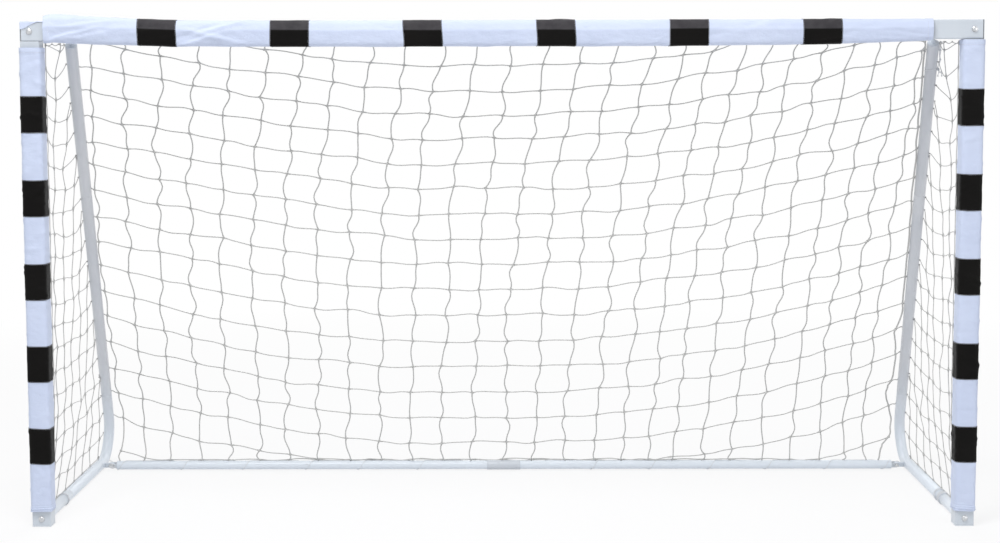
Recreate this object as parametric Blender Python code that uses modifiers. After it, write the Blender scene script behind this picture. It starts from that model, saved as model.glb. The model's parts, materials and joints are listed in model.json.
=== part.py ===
"""Folding soccer goal: square tube mouth in cloth sleeves, two hinged bent side tubes, a split back bar and nets.

X runs across the mouth, Y from the mouth towards the back, Z up. Every length is in metres.
Depths in this script are measured from the front face of the posts. The empty named goal
shifts them so that the whole goal stands centred on the origin.
"""
import math

import bmesh
import bpy
from mathutils import Matrix, Vector

# Mouth frame
WIDTH = 3.000
HEIGHT = 1.600
TUBE = 0.060
TUBE_WALL = 0.002
TUBE_ROUND = 0.004
PLUG_FLANGE = 0.004
PLUG_SPIGOT = 0.006
PLUG_BEVEL = 0.0012
TONGUE_DROP = 0.150
TONGUE_ARM = 0.115
TONGUE_BEVEL = 0.002
GAP = 0.0004
JOIN = 0.001
DRILL_LEAD = 0.010
ROUND_SIDES = 16
TURNED_SIDES = 16

# Bolts and pins
BOLT_RADIUS = 0.004
BOLT_HEAD = 0.010
BOLT_DOME = 0.0055
BOLT_CLEARANCE = 0.0005
CORNER_BOLT_INSET = 0.030
CORNER_BOLT_DROP = 0.030
CORNER_BOLT_LENGTH = 0.040
FOOT_BOLT_INSET = 0.030
FOOT_BOLT_HEIGHT = 0.025
FOOT_BOLT_LENGTH = 0.068
PIN_RADIUS = 0.0040
PIN_HEAD = 0.0070
PIN_HEAD_THICK = 0.0025
PIN_CLEARANCE = 0.00035

# Rear frame
SIDE_RADIUS = 0.019
SIDE_WALL = 0.0015
SIDE_BEND = 0.100
HINGE_DEPTH = 0.090
SIDE_CORNER_DEPTH = 1.135
HINGE_FOOT_INSET = 0.025
HINGE_TOP_INSET = 0.137
HINGE_TOP_HEIGHT = 1.565
HINGE_REACH = 0.028
HINGE_PLATE = 0.003
HINGE_PLATE_HALF = 0.018
HINGE_PLATE_BEVEL = 0.0008
FOOT_PLATE_LOW = 0.0045
FOOT_PLATE_HIGH = 0.044
TOP_PLATE_LOW = 1.549
TOP_PLATE_HIGH = 1.583
BOSS_RADIUS = 0.0075
BOSS_LENGTH = 0.006
EAR_RADIUS = 0.012
EAR_THICK = 0.004
FOOT_EAR_INNER = 0.0100
TOP_EAR_INNER = 0.0115
EYE_RADIUS = 0.009
EYE_ARM = 0.008
EYE_ARM_HALF = 0.008
EYE_ARM_START = 0.005
EYE_FLANGE = 0.003
EYE_FLANGE_STEP = 0.0001
EYE_SPIGOT = 0.020
FOOT_EYE_HALF = 0.0095
TOP_EYE_HALF = 0.0110
TOP_ARM_REACH = 0.036
TOP_STRUT_START = 0.019
TOP_STRUT_DROP = 0.037
STAY_END = 0.0252
BAR_RADIUS = 0.0155
BAR_WALL = 0.0015
BAR_DEPTH = 0.905
BAR_OFFSET = 0.045
BAR_START = 0.036
BAR_SPLIT = 0.001
COUPLER_LENGTH = 0.120
COUPLER_WALL = 0.0013
LUG_THICK = 0.004
LUG_HALF_WIDTH = 0.011
LUG_ROOT = 0.008
FORK_THICK = 0.003
FORK_FLANGE = 0.016
FORK_SPIGOT = 0.025

# Cloth sleeves and their black bands
SLEEVE_CLOTH = 0.0015
SLEEVE_POWER = 8.0
WRAP_STEPS = 14
POST_SLEEVE_OUTER = 1.5035
POST_SLEEVE_HALF = 0.0370
POST_SLEEVE_HALF_FOOT = 0.0345
POST_SLEEVE_FRONT = -0.010
POST_SLEEVE_BACK = 0.0652
POST_SLEEVE_LOW = 0.050
POST_SLEEVE_TAPER = 0.250
POST_SLEEVE_SLIT = 0.0154
POST_SLEEVE_TOP = {"left": 1.520, "right": 1.538}
BAR_SLEEVE_FRONT = -0.012
BAR_SLEEVE_BACK = 0.0652
BAR_SLEEVE_TOP = 1.6035
BAR_SLEEVE_SAG = 0.006
BAR_SLEEVE_LOW = 1.531
BAR_SLEEVE_LEFT = -1.425
BAR_SLEEVE_RIGHT = 1.340
BAR_SLEEVE_SLIT = 0.022
BAND_CLOTH = 0.0010
BAND_LIFT = 0.0004
BAR_BAND_WIDTH = 0.122
BAR_BAND_FIRST = -1.072
BAR_BAND_PITCH = 0.414
BAR_BANDS = 6
POST_BAND_WIDTH = 0.1155
POST_BAND_FIRST = {"left": 0.261, "right": 0.264}
POST_BAND_PITCH = {"left": 0.2626, "right": 0.2660}
POST_BANDS = 5

# Nets
TWINE = 0.004
BACK_NET_COLUMNS = 24
BACK_NET_ROWS = 12
BACK_NET_TOP = 1.535
BACK_NET_LOW = 0.046
BACK_NET_TOP_DEPTH = 0.110
BACK_NET_FOOT_SLOPE = 0.9
NET_EDGE = 0.027
SIDE_NET_CELLS = 9
SIDE_NET_FRONT = 0.034
SIDE_NET_LOW = 0.030

# Values worked out from the sizes above
POST_X = WIDTH / 2 - TUBE / 2
BORE = TUBE - 2 * TUBE_WALL
INSERT = BORE - 2 * GAP
FOOT_HEIGHT = SIDE_RADIUS
FOOT_X = WIDTH / 2 - HINGE_FOOT_INSET
TOP_X = WIDTH / 2 - HINGE_TOP_INSET
HINGE_RISE = HINGE_TOP_HEIGHT - FOOT_HEIGHT
HINGE_LEAN = math.atan2(FOOT_X - TOP_X, HINGE_RISE)
HINGE_LENGTH = math.hypot(FOOT_X - TOP_X, HINGE_RISE)
SIDE_REACH = SIDE_CORNER_DEPTH - HINGE_DEPTH
STAY_ANGLE = math.atan2(HINGE_LENGTH, SIDE_REACH)
BEND_TANGENT = SIDE_BEND / math.tan(STAY_ANGLE / 2)
BEND_START = SIDE_REACH - BEND_TANGENT
BACK_MOST = HINGE_DEPTH + BEND_START + SIDE_BEND + SIDE_RADIUS
FRONT_MOST = BAR_SLEEVE_FRONT - BAND_LIFT - BAND_CLOTH
CENTRE_DEPTH = (BACK_MOST + FRONT_MOST) / 2
SIDES = {"left": -1.0, "right": 1.0}


# Scene and materials

def clear_scene():
    for thing in list(bpy.data.objects):
        bpy.data.objects.remove(thing, do_unlink=True)


def collection(name, hidden=False):
    group = bpy.data.collections.new(name)
    bpy.context.scene.collection.children.link(group)
    group.hide_render = hidden
    return group


def material(name, colour, roughness, metallic=0.0):
    made = bpy.data.materials.new(name)
    made.use_nodes = True
    shader = made.node_tree.nodes["Principled BSDF"]
    shader.inputs["Base Color"].default_value = (*colour, 1.0)
    shader.inputs["Roughness"].default_value = roughness
    shader.inputs["Metallic"].default_value = metallic
    return made


def pivot(name, matrix, parent=None):
    empty = bpy.data.objects.new(name, None)
    empty.empty_display_size = 0.05
    PARTS.objects.link(empty)
    empty.parent = parent
    base = parent.matrix_world.inverted() if parent else Matrix.Identity(4)
    empty.matrix_local = base @ matrix
    bpy.context.view_layer.update()
    return empty


def place(name, mesh, look, parent, tool=False):
    """Put a mesh in the scene under a parent. Tools are the solids that only serve a Boolean."""
    made = bpy.data.objects.new(name, mesh)
    made.parent = parent
    if tool:
        CUTTERS.objects.link(made)
        made.hide_render = True
        made.display_type = "WIRE"
    else:
        PARTS.objects.link(made)
        made.data.materials.append(look)
    return made


# Plain solids

def mesh_from(name, shape):
    bmesh.ops.recalc_face_normals(shape, faces=shape.faces)
    mesh = bpy.data.meshes.new(name)
    shape.to_mesh(mesh)
    shape.free()
    return mesh


def box_mesh(name, low, high, bevel=0.0):
    low = Vector(low)
    high = Vector(high)
    size = high - low
    shape = bmesh.new()
    matrix = Matrix.Translation((low + high) / 2) @ Matrix.Diagonal((*size, 1.0))
    bmesh.ops.create_cube(shape, size=1.0, matrix=matrix)
    if bevel:
        bmesh.ops.bevel(shape, geom=shape.edges[:], offset=bevel, segments=1, affect="EDGES")
    return mesh_from(name, shape)


def rod_mesh(name, start, end, radius, sides=16):
    start = Vector(start)
    end = Vector(end)
    along = end - start
    turn = along.to_track_quat("Z", "Y").to_matrix().to_4x4()
    shape = bmesh.new()
    matrix = Matrix.Translation((start + end) / 2) @ turn
    bmesh.ops.create_cone(
        shape, cap_ends=True, segments=sides, radius1=radius, radius2=radius,
        depth=along.length, matrix=matrix)
    return mesh_from(name, shape)


def tongue_mesh(name, reach, half_width, low, high):
    """A flat plate along X from -reach to the pin at the origin, rounded about the pin."""
    outline = bpy.data.curves.new(name, "CURVE")
    outline.dimensions = "2D"
    outline.fill_mode = "BOTH"
    outline.extrude = (high - low) / 2
    steps = 8
    angles = [math.pi / 2 - math.pi * step / steps for step in range(steps + 1)]
    points = [(half_width * math.cos(angle), half_width * math.sin(angle)) for angle in angles]
    points += [(-reach, -half_width), (-reach, half_width)]
    line = outline.splines.new("POLY")
    line.points.add(len(points) - 1)
    for point, (across, along) in zip(line.points, points):
        point.co = (across, along, 0.0, 1.0)
    line.use_cyclic_u = True
    mesh = mesh_of_curve(name, outline)
    mesh.transform(Matrix.Translation((0.0, 0.0, (high + low) / 2)))
    return mesh


def mesh_of_curve(name, curve):
    holder = bpy.data.objects.new(name + "_curve", curve)
    bpy.context.scene.collection.objects.link(holder)
    bpy.context.view_layer.update()
    drawn = bpy.data.meshes.new_from_object(holder.evaluated_get(bpy.context.evaluated_depsgraph_get()))
    bpy.data.objects.remove(holder, do_unlink=True)
    shape = bmesh.new()
    shape.from_mesh(drawn)
    bpy.data.meshes.remove(drawn)
    bmesh.ops.remove_doubles(shape, verts=shape.verts, dist=1e-5)
    return mesh_from(name, shape)


def boolean(target, tool, operation):
    step = target.modifiers.new(tool.name, "BOOLEAN")
    step.operation = operation
    step.solver = "EXACT"
    step.object = tool


def union(target, mesh, parent):
    boolean(target, place(mesh.name, mesh, None, parent, tool=True), "UNION")


def cut(target, mesh, parent):
    boolean(target, place(mesh.name, mesh, None, parent, tool=True), "DIFFERENCE")


# Tubes

def square_tube(name, low, high, axis, look):
    """A square tube with rounded corners, open at both ends, hollowed by Solidify."""
    shape = bmesh.new()
    low = Vector(low)
    high = Vector(high)
    size = high - low
    matrix = Matrix.Translation((low + high) / 2) @ Matrix.Diagonal((*size, 1.0))
    bmesh.ops.create_cube(shape, size=1.0, matrix=matrix)
    shape.faces.ensure_lookup_table()
    ends = [face for face in shape.faces if abs(face.normal[axis]) > 0.9]
    bmesh.ops.delete(shape, geom=ends, context="FACES_ONLY")
    long_edges = [
        edge for edge in shape.edges
        if abs((edge.verts[0].co - edge.verts[1].co)[axis]) > size[axis] / 2]
    bmesh.ops.bevel(shape, geom=long_edges, offset=TUBE_ROUND, segments=3, profile=0.5, affect="EDGES")
    mesh = bpy.data.meshes.new(name)
    bmesh.ops.recalc_face_normals(shape, faces=shape.faces)
    shape.to_mesh(mesh)
    shape.free()
    tube = place(name, mesh, look, GOAL)
    hollow(tube, TUBE_WALL)
    return tube


def hollow(tube, wall):
    shell = tube.modifiers.new("wall", "SOLIDIFY")
    shell.thickness = wall
    shell.offset = -1.0
    shell.use_even_offset = True


def round_tube(name, points, radius, wall, look, parent):
    """A round tube along a line of points, open at both ends, hollowed by Solidify."""
    curve = bpy.data.curves.new(name, "CURVE")
    curve.dimensions = "3D"
    curve.bevel_depth = radius
    curve.bevel_resolution = ROUND_SIDES // 2 - 2
    line = curve.splines.new("POLY")
    line.points.add(len(points) - 1)
    for point, spot in zip(line.points, points):
        point.co = (*spot, 1.0)
    tube = place(name, mesh_of_curve(name, curve), look, parent)
    hollow(tube, wall)
    return tube


def spigot_radius(radius, wall):
    """The radius that slips into a round tube, whose flat sides lie a little inside its radius."""
    return radius * math.cos(math.pi / ROUND_SIDES) - wall - GAP


# Fastenings

def turned(name, profile, look, parent, matrix):
    """A profile of (radius, height) points from top to bottom, turned about Z by Screw."""
    shape = bmesh.new()
    spots = [shape.verts.new((radius, 0.0, height)) for radius, height in profile]
    for first, second in zip(spots, spots[1:]):
        shape.edges.new((first, second))
    mesh = bpy.data.meshes.new(name)
    shape.to_mesh(mesh)
    shape.free()
    made = place(name, mesh, look, parent)
    made.matrix_local = matrix
    screw = made.modifiers.new("turn", "SCREW")
    screw.axis = "Z"
    screw.angle = math.tau
    screw.steps = TURNED_SIDES
    screw.render_steps = TURNED_SIDES
    screw.use_merge_vertices = True
    screw.merge_threshold = 1e-5
    return made


def dome_bolt(name, x, z, length):
    """A dome head on the front face, with its shank running back through the tube."""
    dome = []
    steps = 5
    for step in range(steps + 1):
        angle = math.pi / 2 * (1 - step / steps)
        dome.append((BOLT_HEAD * math.cos(angle), GAP + BOLT_DOME * math.sin(angle)))
    profile = dome + [(BOLT_RADIUS, GAP), (BOLT_RADIUS, -length), (0.0, -length)]
    matrix = Matrix.Translation((x, 0.0, z)) @ Matrix.Rotation(math.pi / 2, 4, "X")
    return turned(name, profile, ZINC, GOAL, matrix)


def rivet(name, half_grip, parent, matrix):
    """A hinge pin along Z with a flat head at each end."""
    rim = half_grip + PIN_HEAD_THICK
    profile = [
        (0.0, rim), (PIN_HEAD, rim), (PIN_HEAD, half_grip), (PIN_RADIUS, half_grip),
        (PIN_RADIUS, -half_grip), (PIN_HEAD, -half_grip), (PIN_HEAD, -rim), (0.0, -rim)]
    return turned(name, profile, ZINC, parent, matrix)


# Mouth frame pieces

def crossbar():
    half = WIDTH / 2 - PLUG_FLANGE - GAP
    bar = square_tube(
        "crossbar", (-half, 0.0, HEIGHT - TUBE), (half, TUBE, HEIGHT), 0, STEEL)
    for side, sign in SIDES.items():
        bolt = sign * (WIDTH / 2 - CORNER_BOLT_INSET)
        drill = rod_mesh(
            side + "_corner_drill", (bolt, -DRILL_LEAD, HEIGHT - CORNER_BOLT_DROP),
            (bolt, TUBE / 2, HEIGHT - CORNER_BOLT_DROP), BOLT_RADIUS + BOLT_CLEARANCE)
        cut(bar, drill, GOAL)
        inner, outer = tongue_leg(sign, GAP)
        mouth = box_mesh(
            side + "_tongue_mouth", (inner, TUBE / 2 - INSERT / 2 - GAP / 2, HEIGHT - TUBE - DRILL_LEAD),
            (outer, TUBE / 2 + INSERT / 2 + GAP / 2, HEIGHT - TUBE / 2))
        cut(bar, mouth, GOAL)
        plug(
            side + "_end_plug", (sign * (WIDTH / 2), TUBE / 2, HEIGHT - TUBE / 2),
            (-sign, 0.0, 0.0), PLUG_SPIGOT)


def tongue_leg(sign, extra):
    """The two X limits of the corner tongue's downward leg, lowest first."""
    outer = sign * (WIDTH / 2 - PLUG_FLANGE - PLUG_SPIGOT - 2 * GAP + extra)
    inner = sign * (POST_X - INSERT / 2 - extra)
    return min(inner, outer), max(inner, outer)


def corner_tongue(side, sign):
    """The L-shaped insert that joins the crossbar to a post."""
    low, high = tongue_leg(sign, 0.0)
    front = TUBE / 2 - INSERT / 2
    back = TUBE / 2 + INSERT / 2
    leg = box_mesh(
        side + "_corner_tongue", (low, front, HEIGHT - TONGUE_DROP),
        (high, back, HEIGHT - TUBE / 2 + INSERT / 2), bevel=TONGUE_BEVEL)
    tongue = place(side + "_corner_tongue", leg, NYLON, GOAL)
    reach = sign * (WIDTH / 2 - TONGUE_ARM)
    edge = high if sign > 0 else low
    arm = box_mesh(
        side + "_tongue_arm", (min(edge, reach), front, HEIGHT - TUBE / 2 - INSERT / 2),
        (max(edge, reach), back, HEIGHT - TUBE / 2 + INSERT / 2), bevel=TONGUE_BEVEL)
    union(tongue, arm, GOAL)
    bolt = sign * (WIDTH / 2 - CORNER_BOLT_INSET)
    drill = rod_mesh(
        side + "_tongue_drill", (bolt, 0.0, HEIGHT - CORNER_BOLT_DROP),
        (bolt, TUBE, HEIGHT - CORNER_BOLT_DROP), BOLT_RADIUS + BOLT_CLEARANCE)
    cut(tongue, drill, GOAL)


def plug(name, face, inward, depth):
    """A tube plug: its flange's outer face is centred on face, and its spigot points inward."""
    turn = Vector(inward).to_track_quat("Z", "Y").to_matrix().to_4x4()
    half = TUBE / 2
    flange = box_mesh(name, (-half, -half, 0.0), (half, half, PLUG_FLANGE), bevel=PLUG_BEVEL)
    made = place(name, flange, NYLON, GOAL)
    matrix = Matrix.Translation(face) @ turn
    made.matrix_local = matrix
    small = INSERT / 2
    spigot = box_mesh(
        name + "_spigot", (-small, -small, PLUG_FLANGE / 2), (small, small, PLUG_FLANGE + depth),
        bevel=PLUG_BEVEL)
    spigot.transform(matrix)
    union(made, spigot, GOAL)


def post(side, sign):
    x = sign * POST_X
    low = PLUG_FLANGE + GAP
    high = HEIGHT - TUBE - GAP
    half = TUBE / 2
    made = square_tube(side + "_post", (x - half, 0.0, low), (x + half, TUBE, high), 2, STEEL)
    bolt = sign * (WIDTH / 2 - FOOT_BOLT_INSET)
    drill = rod_mesh(
        side + "_foot_drill", (bolt, -DRILL_LEAD, FOOT_BOLT_HEIGHT),
        (bolt, TUBE + DRILL_LEAD, FOOT_BOLT_HEIGHT), BOLT_RADIUS + BOLT_CLEARANCE)
    cut(made, drill, GOAL)
    plug(side + "_foot_plug", (x, half, 0.0), (0.0, 0.0, 1.0), PLUG_SPIGOT)


# Hinges between the mouth frame and the side tubes

def hinge_frame(side, sign, height):
    """The hinge axis as a matrix: Z along the axis, X across the goal, Y to the back."""
    share = (height - FOOT_HEIGHT) / HINGE_RISE
    x = sign * (FOOT_X + (TOP_X - FOOT_X) * share)
    lean = Matrix.Rotation(-sign * HINGE_LEAN, 4, "Y")
    return Matrix.Translation((x, HINGE_DEPTH, height)) @ lean


def hinge_bracket(name, frame, plate_low, plate_high, inner_half, boss_x=None):
    """A plate on the tube's rear face with two ears that hold the pin."""
    centre = frame.translation
    low = (centre.x - HINGE_PLATE_HALF, TUBE + GAP, plate_low)
    high = (centre.x + HINGE_PLATE_HALF, TUBE + GAP + HINGE_PLATE, plate_high)
    bracket = place(name, box_mesh(name, low, high, bevel=HINGE_PLATE_BEVEL), STEEL, GOAL)
    turn = Matrix.Rotation(math.pi / 2, 4, "Z")
    reach = HINGE_DEPTH - TUBE - GAP - HINGE_PLATE / 2
    for end, sign in (("low", -1.0), ("high", 1.0)):
        near = sign * inner_half
        far = sign * (inner_half + EAR_THICK)
        ear = tongue_mesh(f"{name}_{end}_ear", reach, EAR_RADIUS, min(near, far), max(near, far))
        ear.transform(frame @ turn)
        union(bracket, ear, GOAL)
    if boss_x is not None:
        boss = rod_mesh(
            name + "_boss", (boss_x, TUBE + GAP + JOIN, FOOT_BOLT_HEIGHT),
            (boss_x, TUBE + GAP + HINGE_PLATE + BOSS_LENGTH, FOOT_BOLT_HEIGHT), BOSS_RADIUS)
        union(bracket, boss, GOAL)
        drill = rod_mesh(
            name + "_boss_drill", (boss_x, TUBE, FOOT_BOLT_HEIGHT),
            (boss_x, TUBE + 2 * DRILL_LEAD, FOOT_BOLT_HEIGHT), BOLT_RADIUS + BOLT_CLEARANCE)
        cut(bracket, drill, GOAL)
    bore = rod_mesh(name + "_bore", (0.0, 0.0, -0.05), (0.0, 0.0, 0.05), PIN_RADIUS + PIN_CLEARANCE)
    bore.transform(frame)
    cut(bracket, bore, GOAL)


def hinges(side, sign):
    foot = hinge_frame(side, sign, FOOT_HEIGHT)
    top = hinge_frame(side, sign, HINGE_TOP_HEIGHT)
    boss = sign * (WIDTH / 2 - FOOT_BOLT_INSET)
    hinge_bracket(side + "_foot_hinge", foot, FOOT_PLATE_LOW, FOOT_PLATE_HIGH, FOOT_EAR_INNER, boss)
    hinge_bracket(side + "_top_hinge", top, TOP_PLATE_LOW, TOP_PLATE_HIGH, TOP_EAR_INNER)
    rivet(side + "_foot_pin", FOOT_EAR_INNER + EAR_THICK + GAP, GOAL, foot)
    rivet(side + "_top_pin", TOP_EAR_INNER + EAR_THICK + GAP, GOAL, top)


# Side tubes, in the side's own frame: Y to the back, Z up along the hinge axis

def side_path():
    """The bent tube's centre line: along the ground, round the bend, up the stay."""
    points = [(0.0, HINGE_REACH, 0.0)]
    turn = math.pi - STAY_ANGLE
    steps = 14
    for step in range(steps + 1):
        angle = turn * step / steps
        depth = BEND_START + SIDE_BEND * math.sin(angle)
        points.append((0.0, depth, SIDE_BEND * (1 - math.cos(angle))))
    points.append(stay_point(STAY_END))
    return points


def stay_point(depth):
    return (0.0, depth, HINGE_LENGTH * (1 - depth / SIDE_REACH))


def eye(name, parent, height, half, pieces, bore_half=0.04):
    """A barrel round the pin at the given height, joined to the arm and plug that hold the tube."""
    barrel = rod_mesh(name, (0.0, 0.0, height - half), (0.0, 0.0, height + half), EYE_RADIUS)
    made = place(name, barrel, STEEL, parent)
    for piece in pieces:
        union(made, piece, parent)
    bore = rod_mesh(
        name + "_bore", (0.0, 0.0, height - bore_half), (0.0, 0.0, height + bore_half),
        PIN_RADIUS + PIN_CLEARANCE)
    cut(made, bore, parent)


def side_frame(side, sign):
    frame = pivot(side + "_side_pivot", Matrix.Translation((0.0, -CENTRE_DEPTH, 0.0)) @ hinge_frame(
        side, sign, FOOT_HEIGHT), GOAL)
    round_tube(side + "_side_tube", side_path(), SIDE_RADIUS, SIDE_WALL, STEEL, frame)

    foot_eye(side, frame)
    top_eye(side, frame)
    side_net(side, frame)
    return frame


def foot_eye(side, frame):
    """The barrel on the foot pin, with the arm and the plug that hold the tube's lower end."""
    thick = EYE_ARM / 2
    face = HINGE_REACH - GAP
    arm = box_mesh(
        side + "_foot_arm", (-thick, EYE_ARM_START, -EYE_ARM_HALF), (thick, face - JOIN, EYE_ARM_HALF))
    flange = rod_mesh(
        side + "_foot_flange", (0.0, face - EYE_FLANGE, 0.0), (0.0, face, 0.0),
        SIDE_RADIUS - EYE_FLANGE_STEP)
    spigot = rod_mesh(
        side + "_foot_spigot", (0.0, face - JOIN, 0.0), (0.0, face + EYE_SPIGOT, 0.0),
        spigot_radius(SIDE_RADIUS, SIDE_WALL))
    eye(side + "_foot_eye", frame, 0.0, FOOT_EYE_HALF, [arm, flange, spigot])


def top_eye(side, frame):
    """The barrel on the top pin, whose arm and strut meet the slanted plug in the stay's end."""
    thick = EYE_ARM / 2
    along = Vector((0.0, -math.cos(STAY_ANGLE), math.sin(STAY_ANGLE)))
    face = Vector(stay_point(STAY_END)) + along * GAP
    arm = box_mesh(
        side + "_top_arm", (-thick, EYE_ARM_START, HINGE_LENGTH - EYE_ARM_HALF),
        (thick, TOP_ARM_REACH, HINGE_LENGTH + EYE_ARM_HALF))
    strut = box_mesh(
        side + "_top_strut", (-thick, TOP_STRUT_START, HINGE_LENGTH - TOP_STRUT_DROP),
        (thick, TOP_ARM_REACH, HINGE_LENGTH - EYE_ARM_HALF + JOIN))
    flange = rod_mesh(
        side + "_top_flange", face, face + along * EYE_FLANGE, SIDE_RADIUS - EYE_FLANGE_STEP)
    spigot = rod_mesh(
        side + "_top_spigot", face + along * JOIN, face - along * EYE_SPIGOT,
        spigot_radius(SIDE_RADIUS, SIDE_WALL))
    eye(side + "_top_eye", frame, HINGE_LENGTH, TOP_EYE_HALF, [arm, strut, flange, spigot])


# Back bar, in the bar's own frame: X along the bar, Y up beside the stay, Z along the pin

def bar_frame(side, sign):
    """The corner pin's frame in the scene, with the pin square to the bar and to the stay."""
    base = Matrix.Translation((0.0, -CENTRE_DEPTH, 0.0)) @ hinge_frame(side, sign, FOOT_HEIGHT)
    lift = BAR_OFFSET * math.tan(HINGE_LEAN)
    spot = base @ Vector((-sign * BAR_OFFSET, BAR_DEPTH - HINGE_DEPTH, lift))
    stay = base.to_3x3() @ Vector((0.0, -math.cos(STAY_ANGLE), math.sin(STAY_ANGLE)))
    along = Vector((-sign, 0.0, 0.0))
    pin = along.cross(stay).normalized()
    up = pin.cross(along)
    turn = Matrix((along, up, pin)).transposed().to_4x4()
    return Matrix.Translation(spot) @ turn


def corner(side, sign, side_pivot):
    """The lug welded to the side tube and the rivet that the bar turns on."""
    frame = pivot(side + "_corner", bar_frame(side, sign), side_pivot)
    half = LUG_THICK / 2
    lug = place(
        side + "_lug", tongue_mesh(side + "_lug", BAR_OFFSET - LUG_ROOT, LUG_HALF_WIDTH, -half, half),
        STEEL, frame)
    saddle = rod_mesh(
        side + "_saddle", (0.0, BEND_START * 0.7, 0.0), (0.0, BEND_START, 0.0), SIDE_RADIUS + GAP, sides=32)
    cut(lug, saddle, side_pivot)
    bore = rod_mesh(side + "_lug_bore", (0.0, 0.0, -0.02), (0.0, 0.0, 0.02), PIN_RADIUS + PIN_CLEARANCE)
    cut(lug, bore, frame)
    grip = half + 2 * GAP + FORK_THICK
    rivet(side + "_corner_pin", grip, frame, Matrix.Identity(4))


def back_bar(side, sign, side_pivot):
    matrix = bar_frame(side, sign)
    frame = pivot(side + "_bar_pivot", matrix, side_pivot)
    end = abs(matrix.translation.x) - BAR_SPLIT / 2
    round_tube(
        side + "_back_bar", [(BAR_START, 0.0, 0.0), (end, 0.0, 0.0)], BAR_RADIUS, BAR_WALL, STEEL, frame)
    near = LUG_THICK / 2 + GAP
    far = near + FORK_THICK
    turn = Matrix.Rotation(math.pi, 4, "Z")
    blades = []
    for name, low, high in (("lower", -far, -near), ("upper", near, far)):
        blade = tongue_mesh(f"{side}_fork_{name}", BAR_START - 2 * JOIN, LUG_HALF_WIDTH, low, high)
        blade.transform(turn)
        blades.append(blade)
    fork = place(side + "_bar_fork", blades[0], NYLON, frame)
    union(fork, rod_mesh(
        side + "_fork_flange", (BAR_START - FORK_FLANGE, 0.0, 0.0), (BAR_START - GAP, 0.0, 0.0),
        BAR_RADIUS), frame)
    union(fork, rod_mesh(
        side + "_fork_spigot", (BAR_START - 2 * JOIN, 0.0, 0.0), (BAR_START + FORK_SPIGOT, 0.0, 0.0),
        spigot_radius(BAR_RADIUS, BAR_WALL)), frame)
    union(fork, blades[1], frame)
    bore = rod_mesh(side + "_fork_bore", (0.0, 0.0, -0.02), (0.0, 0.0, 0.02), PIN_RADIUS + PIN_CLEARANCE)
    cut(fork, bore, frame)
    return frame, end


def coupler(frame, end):
    """The sleeve that slides along the right half to bridge or free the split."""
    middle = end + BAR_SPLIT / 2
    half = COUPLER_LENGTH / 2
    round_tube(
        "coupler", [(middle - half, 0.0, 0.0), (middle + half, 0.0, 0.0)],
        BAR_RADIUS + GAP + COUPLER_WALL, COUPLER_WALL, ZINC, frame)


# Cloth sleeves

def superellipse(angle, half_a, half_b):
    cosine = math.cos(angle)
    sine = math.sin(angle)
    first = half_a * math.copysign(abs(cosine) ** (2 / SLEEVE_POWER), cosine)
    second = half_b * math.copysign(abs(sine) ** (2 / SLEEVE_POWER), sine)
    return first, second


def cloth_shell(name, stations, around, spot, thickness, look):
    """A grid bent into an open wrap by spot(share along, share round), thickened inward."""
    shape = bmesh.new()
    bmesh.ops.create_grid(shape, x_segments=stations, y_segments=around, size=1.0)
    for vertex in shape.verts:
        vertex.co = spot((vertex.co.x + 1) / 2, (vertex.co.y + 1) / 2)
    mesh = bpy.data.meshes.new(name)
    shape.to_mesh(mesh)
    shape.free()
    made = place(name, mesh, look, GOAL)
    shell = made.modifiers.new("cloth", "SOLIDIFY")
    shell.thickness = thickness
    shell.offset = -1.0
    return made


def wrap_angle(share, slit, half):
    """Angles from one lip of the rear slit round the front to the other."""
    lip = math.asin((slit / half) ** (SLEEVE_POWER / 2))
    return lip + (math.tau - 2 * lip) * (1 - share)


def post_wrap(sign, low, high, lift):
    """A function that gives points of a post's sleeve between two heights, or of a band on it."""
    def spot(along, share):
        z = low + (high - low) * along
        taper = min(1.0, max(0.0, (z - POST_SLEEVE_LOW) / POST_SLEEVE_TAPER))
        half = POST_SLEEVE_HALF_FOOT + (POST_SLEEVE_HALF - POST_SLEEVE_HALF_FOOT) * taper
        middle = sign * (POST_SLEEVE_OUTER - half)
        half += lift
        deep = (POST_SLEEVE_BACK - POST_SLEEVE_FRONT) / 2 + lift
        angle = wrap_angle(share, POST_SLEEVE_SLIT, half)
        back, across = superellipse(angle, deep, half)
        centre = (POST_SLEEVE_BACK + POST_SLEEVE_FRONT) / 2
        return Vector((middle - across, centre + back, z))
    return spot


def bar_wrap(low, high, lift):
    """A function that gives points of the crossbar's sleeve, which hangs lowest in the middle."""
    def spot(along, share):
        x = low + (high - low) * along
        sag = BAR_SLEEVE_SAG * (1 - (x / (WIDTH / 2)) ** 2)
        bottom = BAR_SLEEVE_LOW - sag
        half = (BAR_SLEEVE_TOP - bottom) / 2 + lift
        deep = (BAR_SLEEVE_BACK - BAR_SLEEVE_FRONT) / 2 + lift
        angle = wrap_angle(share, BAR_SLEEVE_SLIT, half)
        back, rise = superellipse(angle, deep, half)
        centre = (BAR_SLEEVE_BACK + BAR_SLEEVE_FRONT) / 2
        return Vector((x, centre + back, (BAR_SLEEVE_TOP + bottom) / 2 + rise))
    return spot


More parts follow.
